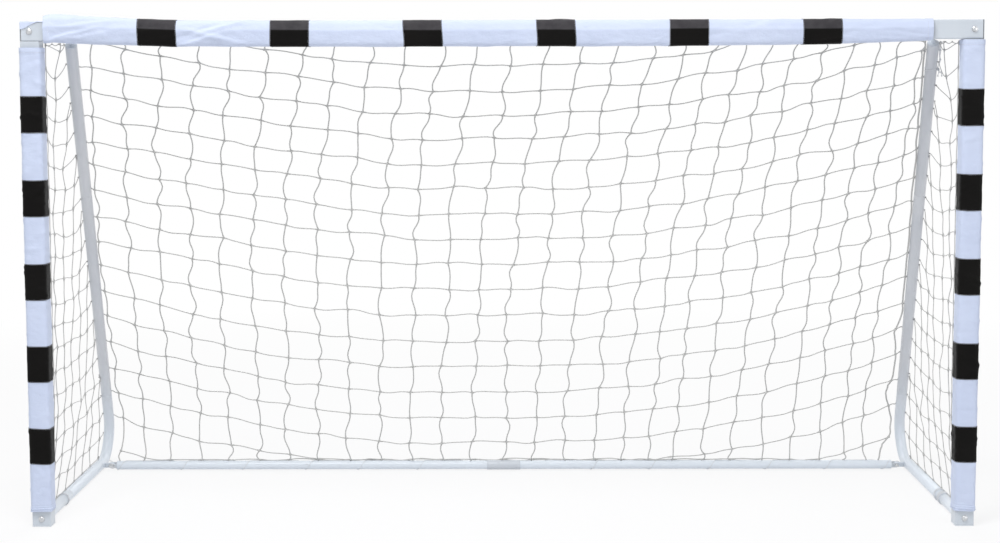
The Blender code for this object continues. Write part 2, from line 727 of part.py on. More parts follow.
def sleeves():
    cloth_shell(
        "crossbar_sleeve", 10, WRAP_STEPS, bar_wrap(BAR_SLEEVE_LEFT, BAR_SLEEVE_RIGHT, 0.0), SLEEVE_CLOTH, CLOTH)
    for index in range(BAR_BANDS):
        middle = BAR_BAND_FIRST + BAR_BAND_PITCH * index
        wrap = bar_wrap(middle - BAR_BAND_WIDTH / 2, middle + BAR_BAND_WIDTH / 2, BAND_LIFT + BAND_CLOTH)
        cloth_shell(f"crossbar_band_{index + 1}", 1, WRAP_STEPS, wrap, BAND_CLOTH, BLACK)
    for side, sign in SIDES.items():
        wrap = post_wrap(sign, POST_SLEEVE_LOW, POST_SLEEVE_TOP[side], 0.0)
        cloth_shell(side + "_post_sleeve", 8, WRAP_STEPS, wrap, SLEEVE_CLOTH, CLOTH)
        for index in range(POST_BANDS):
            middle = POST_BAND_FIRST[side] + POST_BAND_PITCH[side] * index
            half = POST_BAND_WIDTH / 2
            wrap = post_wrap(sign, middle - half, middle + half, BAND_LIFT + BAND_CLOTH)
            cloth_shell(f"{side}_post_band_{index + 1}", 1, WRAP_STEPS, wrap, BAND_CLOTH, BLACK)


# Nets

def twine(made):
    wire = made.modifiers.new("twine", "WIREFRAME")
    wire.thickness = TWINE
    wire.use_replace = True
    wire.use_boundary = True
    wire.use_even_offset = True


def back_net():
    """The net from the crossbar to the back bar, drawn out along the stays at its sides."""
    shape = bmesh.new()
    bmesh.ops.create_grid(
        shape, x_segments=BACK_NET_COLUMNS, y_segments=BACK_NET_ROWS, size=1.0)
    slope = SIDE_REACH / HINGE_RISE
    for vertex in shape.verts:
        across = vertex.co.x
        rise = (vertex.co.y + 1) / 2
        z = BACK_NET_LOW + (BACK_NET_TOP - BACK_NET_LOW) * rise
        half = FOOT_X - (z - FOOT_HEIGHT) * math.tan(HINGE_LEAN) - NET_EDGE
        middle = BAR_DEPTH + (BACK_NET_TOP_DEPTH - BAR_DEPTH) * rise
        on_stay = HINGE_DEPTH + (HINGE_TOP_HEIGHT - z) * slope
        edge = min(on_stay, BAR_DEPTH + BACK_NET_FOOT_SLOPE * (z - BACK_NET_LOW))
        depth = middle + (edge - middle) * abs(across) ** 4
        vertex.co = (across * half, depth, z)
    made = place("net_back", mesh_from("net_back", shape), NET, GOAL)
    twine(made)


def side_net(side, frame):
    """The three-cornered net of a side, whose slanted edge runs along the stay."""
    edge_reach = SIDE_REACH - NET_EDGE / math.sin(STAY_ANGLE)
    edge_rise = edge_reach * math.tan(STAY_ANGLE)
    top = edge_rise * (1 - SIDE_NET_FRONT / edge_reach)
    step_up = (top - SIDE_NET_LOW) / SIDE_NET_CELLS
    step_back = step_up / math.tan(STAY_ANGLE)
    shape = bmesh.new()
    cells = SIDE_NET_CELLS
    bmesh.ops.create_grid(shape, x_segments=cells, y_segments=cells, size=1.0)
    for vertex in shape.verts:
        depth = SIDE_NET_FRONT + step_back * cells * (vertex.co.x + 1) / 2
        vertex.co = (0.0, depth, SIDE_NET_LOW + step_up * cells * (vertex.co.y + 1) / 2)
    corner_spot = Vector((0.0, SIDE_NET_FRONT, top))
    trim(shape, corner_spot, Vector((0.0, math.sin(STAY_ANGLE), math.cos(STAY_ANGLE))))
    last = SIDE_NET_FRONT + step_back * (cells - 1)
    trim(shape, Vector((0.0, last, 0.0)), Vector((0.0, 1.0, 0.0)))
    made = place(side + "_side_net", mesh_from(side + "_side_net", shape), NET, frame)
    twine(made)


def trim(shape, spot, outward):
    geometry = shape.verts[:] + shape.edges[:] + shape.faces[:]
    bmesh.ops.bisect_plane(
        shape, geom=geometry, dist=1e-4, plane_co=spot, plane_no=outward, clear_outer=True)


def build():
    crossbar()
    for side, sign in SIDES.items():
        post(side, sign)
        corner_tongue(side, sign)
        dome_bolt(
            side + "_corner_bolt", sign * (WIDTH / 2 - CORNER_BOLT_INSET), HEIGHT - CORNER_BOLT_DROP,
            CORNER_BOLT_LENGTH)
        dome_bolt(
            side + "_foot_bolt", sign * (WIDTH / 2 - FOOT_BOLT_INSET), FOOT_BOLT_HEIGHT, FOOT_BOLT_LENGTH)
        hinges(side, sign)
        side_pivot = side_frame(side, sign)
        corner(side, sign, side_pivot)
        bar, end = back_bar(side, sign, side_pivot)
        if side == "right":
            coupler(bar, end)
    sleeves()
    back_net()


clear_scene()
PARTS = collection("folding_soccer_goal")
CUTTERS = collection("cutters", hidden=True)
GOAL = pivot("goal", Matrix.Translation((0.0, -CENTRE_DEPTH, 0.0)))
STEEL = material("white_painted_steel", (0.80, 0.84, 0.88), 0.38)
ZINC = material("zinc_plated_steel", (0.62, 0.64, 0.66), 0.28, 1.0)
NYLON = material("white_nylon", (0.82, 0.85, 0.88), 0.50)
CLOTH = material("white_sleeve_cloth", (0.80, 0.86, 0.95), 0.75)
BLACK = material("black_band_cloth", (0.012, 0.011, 0.010), 0.70)
NET = material("grey_net_twine", (0.52, 0.50, 0.49), 0.85)
build()
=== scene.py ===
# Folding soccer goal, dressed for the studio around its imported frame.
# Lengths are in metres: X runs across the mouth, Y towards the back, Z up.
import json
import math
import random

import bpy
import numpy as np
from mathutils import Matrix, Vector, noise


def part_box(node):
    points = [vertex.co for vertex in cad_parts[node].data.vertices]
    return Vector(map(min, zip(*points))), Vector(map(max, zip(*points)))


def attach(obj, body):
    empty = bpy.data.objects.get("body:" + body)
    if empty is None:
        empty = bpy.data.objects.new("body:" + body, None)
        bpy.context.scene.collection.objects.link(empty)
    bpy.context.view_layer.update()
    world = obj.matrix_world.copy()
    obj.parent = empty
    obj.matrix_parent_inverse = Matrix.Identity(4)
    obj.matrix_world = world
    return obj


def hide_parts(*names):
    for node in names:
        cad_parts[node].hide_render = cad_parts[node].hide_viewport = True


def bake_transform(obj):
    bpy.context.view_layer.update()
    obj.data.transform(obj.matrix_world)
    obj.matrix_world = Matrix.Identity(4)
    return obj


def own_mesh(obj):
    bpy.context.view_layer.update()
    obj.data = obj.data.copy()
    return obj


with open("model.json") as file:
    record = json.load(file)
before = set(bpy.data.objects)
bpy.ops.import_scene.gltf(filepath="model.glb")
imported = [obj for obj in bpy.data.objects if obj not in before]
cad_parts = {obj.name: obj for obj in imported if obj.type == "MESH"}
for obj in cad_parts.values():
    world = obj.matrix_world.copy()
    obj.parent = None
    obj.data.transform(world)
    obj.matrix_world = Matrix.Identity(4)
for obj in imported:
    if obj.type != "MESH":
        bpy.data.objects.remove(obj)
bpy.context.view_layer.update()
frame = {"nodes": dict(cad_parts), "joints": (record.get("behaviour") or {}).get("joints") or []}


# Camera. It stands six metres in front of the mouth, just right of the middle and lower than the
# crossbar, and looks a little down, so that the goal fills the frame from post to post.
POST_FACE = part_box("left_post")[0].y
camera_data = bpy.data.cameras.new("studio_camera")
camera_data.sensor_width = 36.0
camera_data.lens = 70.5
camera = bpy.data.objects.new("studio_camera", camera_data)
bpy.context.scene.collection.objects.link(camera)
CAMERA_ASIDE = 0.036
CAMERA_AWAY = 6.13
CAMERA_HEIGHT = 1.4255
CAMERA_PAN = 0.0068
CAMERA_DIP = 0.0990
CAMERA_ROLL = -0.0025
camera_spot = Matrix.Translation((CAMERA_ASIDE, POST_FACE - CAMERA_AWAY, CAMERA_HEIGHT))
camera_turn = Matrix.Rotation(CAMERA_PAN, 4, "Z")
camera_tilt = Matrix.Rotation(math.pi / 2 - CAMERA_DIP, 4, "X")
camera_roll = Matrix.Rotation(CAMERA_ROLL, 4, "Z")
camera.matrix_world = camera_spot @ camera_turn @ camera_tilt @ camera_roll
bpy.context.scene.camera = camera
bpy.context.scene.view_settings.view_transform = "Standard"


# Studio. A wide matt floor that fades to white with distance, a white surround that the camera and
# the reflections see, and three soft lamps: a large one above the front, one low fill, one behind.
def node(tree, kind, **inputs):
    made = tree.nodes.new(kind)
    for name, value in inputs.items():
        made.inputs[name.replace("_", " ")].default_value = value
    return made


def arithmetic(tree, operation, first, second):
    made = tree.nodes.new("ShaderNodeMath")
    made.operation = operation
    for socket, value in zip(made.inputs, (first, second)):
        if hasattr(value, "links"):
            tree.links.new(value, socket)
        else:
            socket.default_value = value
    return made.outputs["Value"]


def seen_ray(tree):
    path = tree.nodes.new("ShaderNodeLightPath")
    seen = arithmetic(tree, "MAXIMUM", path.outputs["Is Camera Ray"], path.outputs["Is Glossy Ray"])
    return arithmetic(tree, "MAXIMUM", seen, path.outputs["Is Transmission Ray"])


bpy.ops.mesh.primitive_plane_add(size=30.0, location=(0.0, 0.0, -0.0006))
floor = bpy.context.object
floor.name = "studio_floor"
paper = bpy.data.materials.new("studio_paper")
paper.use_nodes = True
tree = paper.node_tree
tree.nodes.clear()
matt = node(tree, "ShaderNodeBsdfDiffuse", Color=(0.90, 0.90, 0.91, 1.0))
white = node(tree, "ShaderNodeEmission", Color=(1.0, 1.0, 1.0, 1.0), Strength=1.0)
spot = tree.nodes.new("ShaderNodeTexCoord")
reach = tree.nodes.new("ShaderNodeVectorMath")
reach.operation = "LENGTH"
tree.links.new(spot.outputs["Object"], reach.inputs[0])
fade = tree.nodes.new("ShaderNodeMapRange")
fade.inputs["From Min"].default_value = 1.2
fade.inputs["From Max"].default_value = 5.5
fade.inputs["To Min"].default_value = 0.80
fade.inputs["To Max"].default_value = 1.0
tree.links.new(reach.outputs["Value"], fade.inputs["Value"])
share = arithmetic(tree, "MULTIPLY", fade.outputs["Result"], seen_ray(tree))
blend = tree.nodes.new("ShaderNodeMixShader")
tree.links.new(share, blend.inputs["Fac"])
tree.links.new(matt.outputs["BSDF"], blend.inputs[1])
tree.links.new(white.outputs["Emission"], blend.inputs[2])
out = tree.nodes.new("ShaderNodeOutputMaterial")
tree.links.new(blend.outputs["Shader"], out.inputs["Surface"])
floor.data.materials.append(paper)

world = bpy.data.worlds.new("studio_surround")
bpy.context.scene.world = world
world.use_nodes = True
tree = world.node_tree
tree.nodes.clear()
surround = node(tree, "ShaderNodeBackground", Color=(1.0, 1.0, 1.0, 1.0), Strength=1.0)
ambient = node(tree, "ShaderNodeBackground", Color=(0.97, 0.98, 1.0, 1.0), Strength=0.48)
blend = tree.nodes.new("ShaderNodeMixShader")
tree.links.new(seen_ray(tree), blend.inputs["Fac"])
tree.links.new(ambient.outputs["Background"], blend.inputs[1])
tree.links.new(surround.outputs["Background"], blend.inputs[2])
out = tree.nodes.new("ShaderNodeOutputWorld")
tree.links.new(blend.outputs["Shader"], out.inputs["Surface"])

LAMPS = (
    ("key_lamp", (-1.0, -2.9, 5.4), 2.4, 200.0),
    ("fill_lamp", (4.2, -3.6, 1.6), 3.0, 30.0),
    ("rear_lamp", (0.6, 3.6, 4.2), 3.5, 60.0),
)
for name, place, size, power in LAMPS:
    lamp_data = bpy.data.lights.new(name, "AREA")
    lamp_data.shape = "SQUARE"
    lamp_data.size = size
    lamp_data.energy = power
    lamp = bpy.data.objects.new(name, lamp_data)
    bpy.context.scene.collection.objects.link(lamp)
    lamp.location = place
    towards = Vector((0.0, 0.0, 0.8)) - Vector(place)
    lamp.rotation_euler = towards.to_track_quat("-Z", "Y").to_euler()


# Bare square tubes. The crossbar and the posts are square steel tube, powder coated white. They keep
# the frame's own solids and get the coat: a faint orange peel, cloudy gloss and a few grey rubs.
def finish(name, colour, roughness, metallic=0.0):
    made = bpy.data.materials.new(name)
    made.use_nodes = True
    shader = made.node_tree.nodes["Principled BSDF"]
    shader.inputs["Base Color"].default_value = (*colour, 1.0)
    shader.inputs["Roughness"].default_value = roughness
    shader.inputs["Metallic"].default_value = metallic
    return made, made.node_tree, shader


def ramp(tree, source, stops):
    made = tree.nodes.new("ShaderNodeValToRGB")
    bar = made.color_ramp
    bar.elements[0].position, bar.elements[0].color = stops[0][0], (*stops[0][1], 1.0)
    bar.elements[1].position, bar.elements[1].color = stops[-1][0], (*stops[-1][1], 1.0)
    for position, colour in stops[1:-1]:
        bar.elements.new(position).color = (*colour, 1.0)
    tree.links.new(source, made.inputs["Fac"])
    return made.outputs["Color"]


def mixed(tree, factor, first, second):
    made = tree.nodes.new("ShaderNodeMix")
    made.data_type = "RGBA"
    for socket, value in ((made.inputs["Factor"], factor), (made.inputs[6], first), (made.inputs[7], second)):
        if hasattr(value, "links"):
            tree.links.new(value, socket)
        else:
            socket.default_value = value
    return made.outputs[2]


def bump(tree, shader, height, strength, distance):
    made = node(tree, "ShaderNodeBump", Strength=strength, Distance=distance)
    tree.links.new(height, made.inputs["Height"])
    tree.links.new(made.outputs["Normal"], shader.inputs["Normal"])
    return made


def cloud(tree, scale, detail=3.0, stretch=None, source="Object"):
    spot = tree.nodes.new("ShaderNodeTexCoord").outputs[source]
    made = node(tree, "ShaderNodeTexNoise", Scale=scale, Detail=detail)
    if stretch:
        mapping = tree.nodes.new("ShaderNodeMapping")
        mapping.inputs["Scale"].default_value = stretch
        tree.links.new(spot, mapping.inputs["Vector"])
        spot = mapping.outputs["Vector"]
    tree.links.new(spot, made.inputs["Vector"])
    return made.outputs["Fac"]


def parts_of(tree, source="Object"):
    """The parts of a point's place, in the object or on the piece's own UV map."""
    parts = tree.nodes.new("ShaderNodeSeparateXYZ")
    tree.links.new(tree.nodes.new("ShaderNodeTexCoord").outputs[source], parts.inputs["Vector"])
    return parts.outputs


def greys(*stops):
    """Grey stops of a ramp, each given as its place and its tone."""
    return [(place, (tone,) * 3) for place, tone in stops]


def cloudy_gloss(tree, shader, scale, smooth, rough):
    gloss = ramp(tree, cloud(tree, scale), greys((0.3, smooth), (0.7, rough)))
    tree.links.new(gloss, shader.inputs["Roughness"])


def coat(name, colour, shade, low=None):
    """White powder coat. Where a low colour is given, the coat is painted paler near the ground, as painted
    light from the floor below.
    """
    made, tree, shader = finish(name, colour, 0.36)
    tone = ramp(tree, cloud(tree, 5.0), [(0.35, shade), (0.65, colour)])
    if low:
        # Painted light: below 0.40 m the coat turns towards the paler low colour, for light from the floor.
        painted_floor_light = ramp(tree, parts_of(tree)["Z"], greys((0.12, 1.0), (0.40, 0.0)))
        tone = mixed(tree, painted_floor_light, tone, (*low, 1.0))
    rubs = ramp(tree, cloud(tree, 46.0, 6.0, (0.35, 1.0, 1.0)), greys((0.70, 0.0), (0.76, 1.0)))
    rubs = arithmetic(tree, "MULTIPLY", rubs, 0.30)
    tree.links.new(mixed(tree, rubs, tone, (0.34, 0.35, 0.36, 1.0)), shader.inputs["Base Color"])
    cloudy_gloss(tree, shader, 24.0, 0.30, 0.44)
    bump(tree, shader, cloud(tree, 620.0, 1.0), 0.10, 0.0004)
    shader.inputs["Coat Weight"].default_value = 0.25
    shader.inputs["Coat Roughness"].default_value = 0.18
    return made


def coat_nodes(material, names):
    for name in names:
        frame["nodes"][name].material_slots[0].material = material


SIDES = (("left", -1.0), ("right", 1.0))
white_coat = coat("white_powder_coat", (0.63, 0.68, 0.735), (0.585, 0.635, 0.695))
coat_nodes(white_coat, ["crossbar", "left_post", "right_post"])


# Hinge fittings. Folded brackets are welded behind the posts and the crossbar, barrels are welded to
# the arms that plug the side tubes, and a lug stands on each side tube. All have the tubes' coat.
for side, sign in SIDES:
    coat_nodes(white_coat, [side + "_" + part for part in ("foot_hinge", "top_hinge", "foot_eye", "top_eye")])


# Plugs, corner tongues and bar forks. They are moulded in white nylon, a little softer in gloss than
# the coat, with the fine grain of the mould. They are pressed into the tube ends. A painted shadow,
# nearly black, stands for the gap between the crossbar and the flanges of its plugs.
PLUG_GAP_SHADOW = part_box("crossbar")[1].x - 0.0005
white_nylon, tree, shader = finish("moulded_white_nylon", (0.76, 0.80, 0.84), 0.5)
tone = ramp(tree, cloud(tree, 9.0), [(0.3, (0.71, 0.75, 0.79)), (0.7, (0.77, 0.81, 0.85))])
place = parts_of(tree)
out_at = arithmetic(tree, "ABSOLUTE", place["X"], 0.0)
out_at = arithmetic(tree, "MULTIPLY", arithmetic(tree, "SUBTRACT", out_at, PLUG_GAP_SHADOW), 100.0)
# Painted shadow: the crossbar's plugs are nearly black up to just past the tube's end.
painted_gap_shadow = ramp(tree, out_at, greys((0.0, 1.0), (0.25, 1.0), (0.30, 0.0)))
painted_gap_shadow = arithmetic(tree, "MULTIPLY", painted_gap_shadow, arithmetic(tree, "GREATER_THAN", place["Z"], 1.0))
painted_gap_shadow = arithmetic(tree, "MULTIPLY", painted_gap_shadow, 0.9)
tree.links.new(mixed(tree, painted_gap_shadow, tone, (0.03, 0.03, 0.033, 1.0)), shader.inputs["Base Color"])
cloudy_gloss(tree, shader, 60.0, 0.44, 0.56)
bump(tree, shader, cloud(tree, 1400.0, 1.0), 0.14, 0.0003)
shader.inputs["Subsurface Weight"].default_value = 0.05
shader.inputs["Subsurface Radius"].default_value = (0.004, 0.004, 0.004)
MOULDED = ("end_plug", "foot_plug", "corner_tongue", "bar_fork")
for side, sign in SIDES:
    coat_nodes(white_nylon, [side + "_" + part for part in MOULDED])


# Dome bolts. Four zinc plated bolts with low domed heads on a thin collar hold the crossbar's ends
# and the feet. Their shanks run back through the tubes.
def deselect():
    if bpy.context.object and bpy.context.object.mode != "OBJECT":
        bpy.ops.object.mode_set(mode="OBJECT")
    bpy.ops.object.select_all(action="DESELECT")


def pick(piece):
    deselect()
    piece.select_set(True)
    bpy.context.view_layer.objects.active = piece


def round_edges(width):
    """Bevel every edge of the primitive that was just added."""
    bpy.ops.object.mode_set(mode="EDIT")
    bpy.ops.mesh.select_all(action="SELECT")
    bpy.ops.mesh.bevel(offset=width, segments=2, affect="EDGES")
    bpy.ops.object.mode_set(mode="OBJECT")


def joined(pieces, name):
    deselect()
    for piece in pieces:
        piece.select_set(True)
    bpy.context.view_layer.objects.active = pieces[0]
    bpy.ops.object.join()
    made = bpy.context.object
    made.name = name
    made.data.name = name
    return made


def settle(piece):
    """Put the object at the origin, with its place in its mesh."""
    bpy.context.view_layer.update()
    piece.data.transform(piece.matrix_world)
    piece.matrix_world = Matrix.Identity(4)
    return piece


def copy_of(piece, name, matrix):
    made = piece.copy()
    made.data = piece.data.copy()
    made.name = name
    made.data.name = name
    bpy.context.scene.collection.objects.link(made)
    made.data.transform(matrix)
    return made


def select_faces(piece, wanted):
    bpy.ops.object.mode_set(mode="EDIT")
    bpy.ops.mesh.select_mode(type="FACE")
    bpy.ops.mesh.select_all(action="DESELECT")
    bpy.ops.object.mode_set(mode="OBJECT")
    for face in piece.data.polygons:
        face.select = wanted(face)
    bpy.ops.object.mode_set(mode="EDIT")


zinc, tree, shader = finish("bright_zinc", (0.62, 0.64, 0.66), 0.28, 1.0)
tone = ramp(tree, cloud(tree, 70.0), [(0.3, (0.54, 0.56, 0.59)), (0.7, (0.68, 0.69, 0.70))])
tree.links.new(tone, shader.inputs["Base Color"])
cloudy_gloss(tree, shader, 160.0, 0.22, 0.38)
bump(tree, shader, cloud(tree, 1800.0, 2.0), 0.08, 0.0003)

BOLT_HEAD = 0.010
BOLT_COLLAR = 0.0012
BOLT_DOME = 0.0044
BOLT_SHANK = 0.004
deselect()
bpy.ops.mesh.primitive_uv_sphere_add(segments=40, ring_count=20, radius=1.0, location=(0.0, 0.0, 0.0))
dome = bpy.context.object
bpy.ops.object.mode_set(mode="EDIT")
bpy.ops.mesh.select_all(action="SELECT")
bpy.ops.mesh.bisect(plane_co=(0.0, 0.0, 0.0), plane_no=(0.0, 0.0, 1.0), clear_inner=True, use_fill=True)
bpy.ops.object.mode_set(mode="OBJECT")
dome.data.transform(Matrix.Diagonal((BOLT_HEAD * 0.90, BOLT_HEAD * 0.90, BOLT_DOME, 1.0)))
dome.data.transform(Matrix.Translation((0.0, 0.0, BOLT_COLLAR)))
deselect()
bpy.ops.mesh.primitive_cylinder_add(
    vertices=40, radius=BOLT_HEAD, depth=BOLT_COLLAR, location=(0.0, 0.0, BOLT_COLLAR / 2))
collar = bpy.context.object
round_edges(0.0003)
settle(collar)
bolt = joined([dome, collar], "dome_bolt")
bolt.data.materials.clear()
bolt.data.materials.append(zinc)
for face in bolt.data.polygons:
    face.use_smooth = True
pick(bolt)
bpy.ops.object.shade_smooth_by_angle(angle=math.radians(35.0))
for side, sign in SIDES:
    for spot_name in ("corner", "foot"):
        low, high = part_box(f"{side}_{spot_name}_bolt")
        middle = (low + high) / 2
        length = high.y - POST_FACE - 0.0004
        deselect()
        bpy.ops.mesh.primitive_cylinder_add(
            vertices=32, radius=BOLT_SHANK, depth=length, location=(0.0, 0.0, -length / 2))
        shank = bpy.context.object
        round_edges(0.0005)
        settle(shank)
        shank.data.materials.append(zinc)
        head = copy_of(bolt, "bolt_head", Matrix.Identity(4))
        made = joined([head, shank], f"{side}_{spot_name}_dome_bolt")
        seat = Matrix.Translation((middle.x, POST_FACE - 0.0003, middle.z))
        made.data.transform(seat @ Matrix.Rotation(math.pi / 2, 4, "X"))
        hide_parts(f"{side}_{spot_name}_bolt")
        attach(made, "goal_mouth")
bpy.data.objects.remove(bolt)


# Hinge pins. Six short zinc plated rivets, each with a flat rounded head at both ends, carry the side
# tubes and the bar halves. Each lies on its joint's axis.
PIN_RADIUS = 0.0040
PIN_HEAD = 0.0070
PIN_HEAD_THICK = 0.0025
FOOT_GRIP = 0.0144
TOP_GRIP = 0.0159
CORNER_GRIP = 0.0058


def rivet(name, half_grip):
    deselect()
    bpy.ops.mesh.primitive_cylinder_add(vertices=36, radius=PIN_RADIUS, depth=2 * half_grip)
    made = bpy.context.object
    for sign in (1.0, -1.0):
        select_faces(made, lambda face: face.normal.z * sign > 0.9)
        bpy.ops.mesh.extrude_region_move(TRANSFORM_OT_translate={"value": (0.0, 0.0, 0.0)})
        wide = PIN_HEAD / PIN_RADIUS
        bpy.ops.transform.resize(value=(wide, wide, 1.0))
        bpy.ops.mesh.extrude_region_move(TRANSFORM_OT_translate={"value": (0.0, 0.0, sign * PIN_HEAD_THICK)})
        bpy.ops.mesh.bevel(offset=0.0009, segments=3, affect="EDGES")
        bpy.ops.object.mode_set(mode="OBJECT")
    bpy.ops.object.shade_smooth_by_angle(angle=math.radians(35.0))
    made.name = name
    made.data.name = name
    made.data.materials.append(zinc)
    return made


joint_of = {joint["name"]: joint for joint in frame["joints"]}
for side, sign in SIDES:
    lean = Vector(joint_of[side + "_side_fold"]["axis"])
    lean = lean if lean.z > 0 else -lean
    corner = Vector(joint_of[side + "_bar_fold"]["axis"])
    for part, axis, half_grip, body in (
            ("foot_pin", lean, FOOT_GRIP, "goal_mouth"),
            ("top_pin", lean, TOP_GRIP, "goal_mouth"),
            ("corner_pin", corner, CORNER_GRIP, side + "_side")):
        low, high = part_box(f"{side}_{part}")
        made = rivet(f"{side}_{part}_rivet", half_grip)
        turn = axis.to_track_quat("Z", "Y").to_matrix().to_4x4()
        made.data.transform(Matrix.Translation((low + high) / 2) @ turn)
        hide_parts(f"{side}_{part}")
        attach(made, body)


# Side tubes. Each is a round steel tube, 38 mm across, bent once behind: the lower leg lies on the
# ground and the upper leg runs up to the crossbar as the stay. Slip joints leave fine lines round it.
SIDE_RADIUS = 0.019
SIDE_WALL = 0.0015
SIDE_BEND = 0.100
HINGE_DEPTH = 0.090
HINGE_FOOT = 0.019
HINGE_TOP = 1.565
FOOT_X = 1.475
TOP_X = 1.363
HINGE_REACH = 0.028
STAY_END = 0.0252
SIDE_REACH = 1.045
HINGE_LEAN = math.atan2(FOOT_X - TOP_X, HINGE_TOP - HINGE_FOOT)
HINGE_LENGTH = math.hypot(FOOT_X - TOP_X, HINGE_TOP - HINGE_FOOT)
STAY_ANGLE = math.atan2(HINGE_LENGTH, SIDE_REACH)
BEND_START = SIDE_REACH - SIDE_BEND / math.tan(STAY_ANGLE / 2)


def side_spot(sign, back, up, inward=0.0):
    """A point of a side's own plane, given by its reach behind the hinge line and its rise along it."""
    along = Vector((-sign * math.sin(HINGE_LEAN), 0.0, math.cos(HINGE_LEAN)))
    across = Vector((-sign * math.cos(HINGE_LEAN), 0.0, -math.sin(HINGE_LEAN)))
    foot = Vector((sign * FOOT_X, POST_FACE + HINGE_DEPTH, HINGE_FOOT))
    return foot + Vector((0.0, back, 0.0)) + along * up + across * inward


def stay_rise(back):
    return HINGE_LENGTH * (1.0 - back / SIDE_REACH)


def slip_joint(before, after, share):
    """The points of the fine groove where one tube's end meets the next, along a straight run."""
    middle = before.lerp(after, share)
    along = (after - before).normalized()
    return [(middle + along * step, factor) for step, factor in (
        (-0.0016, 1.0), (-0.0008, 0.972), (0.0008, 0.972), (0.0016, 1.0))]


def smooth_tube(name, points, radius, wall, material, rings=40):
    """A tube through (point, radius factor) pairs, open at both ends, with its wall inside."""
    curve = bpy.data.curves.new(name, "CURVE")
    curve.dimensions = "3D"
    curve.bevel_depth = radius
    curve.bevel_resolution = rings // 2 - 2
    line = curve.splines.new("POLY")
    line.points.add(len(points) - 1)
    for point, (place, factor) in zip(line.points, points):
        point.co = (*place, 1.0)
        point.radius = factor
    made = bpy.data.objects.new(name, curve)
    bpy.context.scene.collection.objects.link(made)
    pick(made)
    bpy.ops.object.convert(target="MESH")
    made = bpy.context.object
    bpy.ops.object.mode_set(mode="EDIT")
    bpy.ops.mesh.select_all(action="SELECT")
    bpy.ops.mesh.normals_make_consistent(inside=False)
    bpy.ops.object.mode_set(mode="OBJECT")
    shell = made.modifiers.new("wall", "SOLIDIFY")
    shell.thickness = wall
    shell.offset = -1.0
    bpy.ops.object.modifier_apply(modifier=shell.name)
    bpy.ops.object.shade_smooth_by_angle(angle=math.radians(40.0))
    made.data.materials.clear()
    made.data.materials.append(material)
    return made


# The round tubes are painted paler near the ground, in the low colour: painted light from the floor.
round_coat = coat("white_coat_on_round_tube", (0.66, 0.68, 0.715), (0.61, 0.635, 0.68), (0.79, 0.85, 0.92))
BEND_STEPS = 36
for side, sign in SIDES:
    turn = math.pi - STAY_ANGLE
    front = side_spot(sign, HINGE_REACH, 0.0)
    bend = []
    for step in range(BEND_STEPS + 1):
        angle = turn * step / BEND_STEPS
        rise = SIDE_BEND * (1.0 - math.cos(angle))
        bend.append((side_spot(sign, BEND_START + SIDE_BEND * math.sin(angle), rise), 1.0))
    top = side_spot(sign, STAY_END, stay_rise(STAY_END))
    points = [(front, 1.0)] + slip_joint(front, bend[0][0], 0.33) + bend
    points += slip_joint(bend[-1][0], top, 0.075) + slip_joint(bend[-1][0], top, 0.635) + [(top, 1.0)]
    made = smooth_tube(side + "_bent_tube", points, SIDE_RADIUS, SIDE_WALL, round_coat)
    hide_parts(side + "_side_tube")
    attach(made, side + "_side")
coat_nodes(round_coat, ["left_lug", "right_lug"])


# Back bar. Two halves of a thinner round tube meet in the middle inside a thin sleeve, which slides
# along the right half to free them. The sleeve is finished white here.
BAR_RADIUS = 0.0155
BAR_WALL = 0.0015
BAR_COVER = 0.016
COUPLER_WALL = 0.0013
COUPLER_PLAY = 0.0004
for side, sign in SIDES:
    low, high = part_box(side + "_back_bar")
    middle = (low + high) / 2
    reach = [low.x - BAR_COVER * (sign < 0.0), high.x + BAR_COVER * (sign > 0.0)]
    ends = [(Vector((x, middle.y, middle.z)), 1.0) for x in reach]
    made = smooth_tube(side + "_bar_half", ends, BAR_RADIUS, BAR_WALL, round_coat)
    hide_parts(side + "_back_bar")
    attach(made, side + "_bar")
BAR_LINE = middle
low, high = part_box("coupler")
ends = [(Vector((x, BAR_LINE.y, BAR_LINE.z)), 1.0) for x in (low.x, high.x)]
coupler_coat = coat("white_coat_on_sleeve", (0.66, 0.70, 0.75), (0.62, 0.66, 0.72))
coupler_radius = BAR_RADIUS + COUPLER_PLAY + COUPLER_WALL
made = smooth_tube("bar_coupler", ends, coupler_radius, COUPLER_WALL, coupler_coat)
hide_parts("coupler")
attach(made, "coupler")


# Crossbar sleeve. A long piece of thin woven polyester is wrapped round the crossbar and closed
# behind. It is wider than the tube, so it hangs below it, puffs up at its left end and creases.
def cloth(name, colour, shade, roughness, sheen, gloss=0.5):
    made, tree, shader = finish(name, colour, roughness)
    tone = ramp(tree, cloud(tree, 7.0, 4.0), [(0.3, shade), (0.7, colour)])
    tree.links.new(tone, shader.inputs["Base Color"])
    spot = tree.nodes.new("ShaderNodeTexCoord").outputs["UV"]
    threads = []
    for direction in ("X", "Y"):
        wave = node(tree, "ShaderNodeTexWave", Scale=260.0, Distortion=0.4, Detail=1.0, Detail_Scale=2.0)
        wave.wave_type = "BANDS"
        wave.bands_direction = direction
        tree.links.new(spot, wave.inputs["Vector"])
        threads.append(wave.outputs["Fac"])
    weave = arithmetic(tree, "MULTIPLY", threads[0], threads[1])
    slub = arithmetic(tree, "MULTIPLY", cloud(tree, 320.0, 2.0, None, "UV"), 0.5)
    crumple = arithmetic(tree, "MULTIPLY", cloud(tree, 26.0, 5.0, (1.0, 1.0, 1.6)), 26.0)
    fine = arithmetic(tree, "ADD", weave, slub)
    bump(tree, shader, arithmetic(tree, "ADD", fine, crumple), 0.30, 0.0005)
    shader.inputs["Sheen Weight"].default_value = sheen
    shader.inputs["Sheen Roughness"].default_value = 0.45
    shader.inputs["Specular IOR Level"].default_value = gloss
    return made


ROUND_STEPS = np.linspace(0.0, math.tau, 2881)


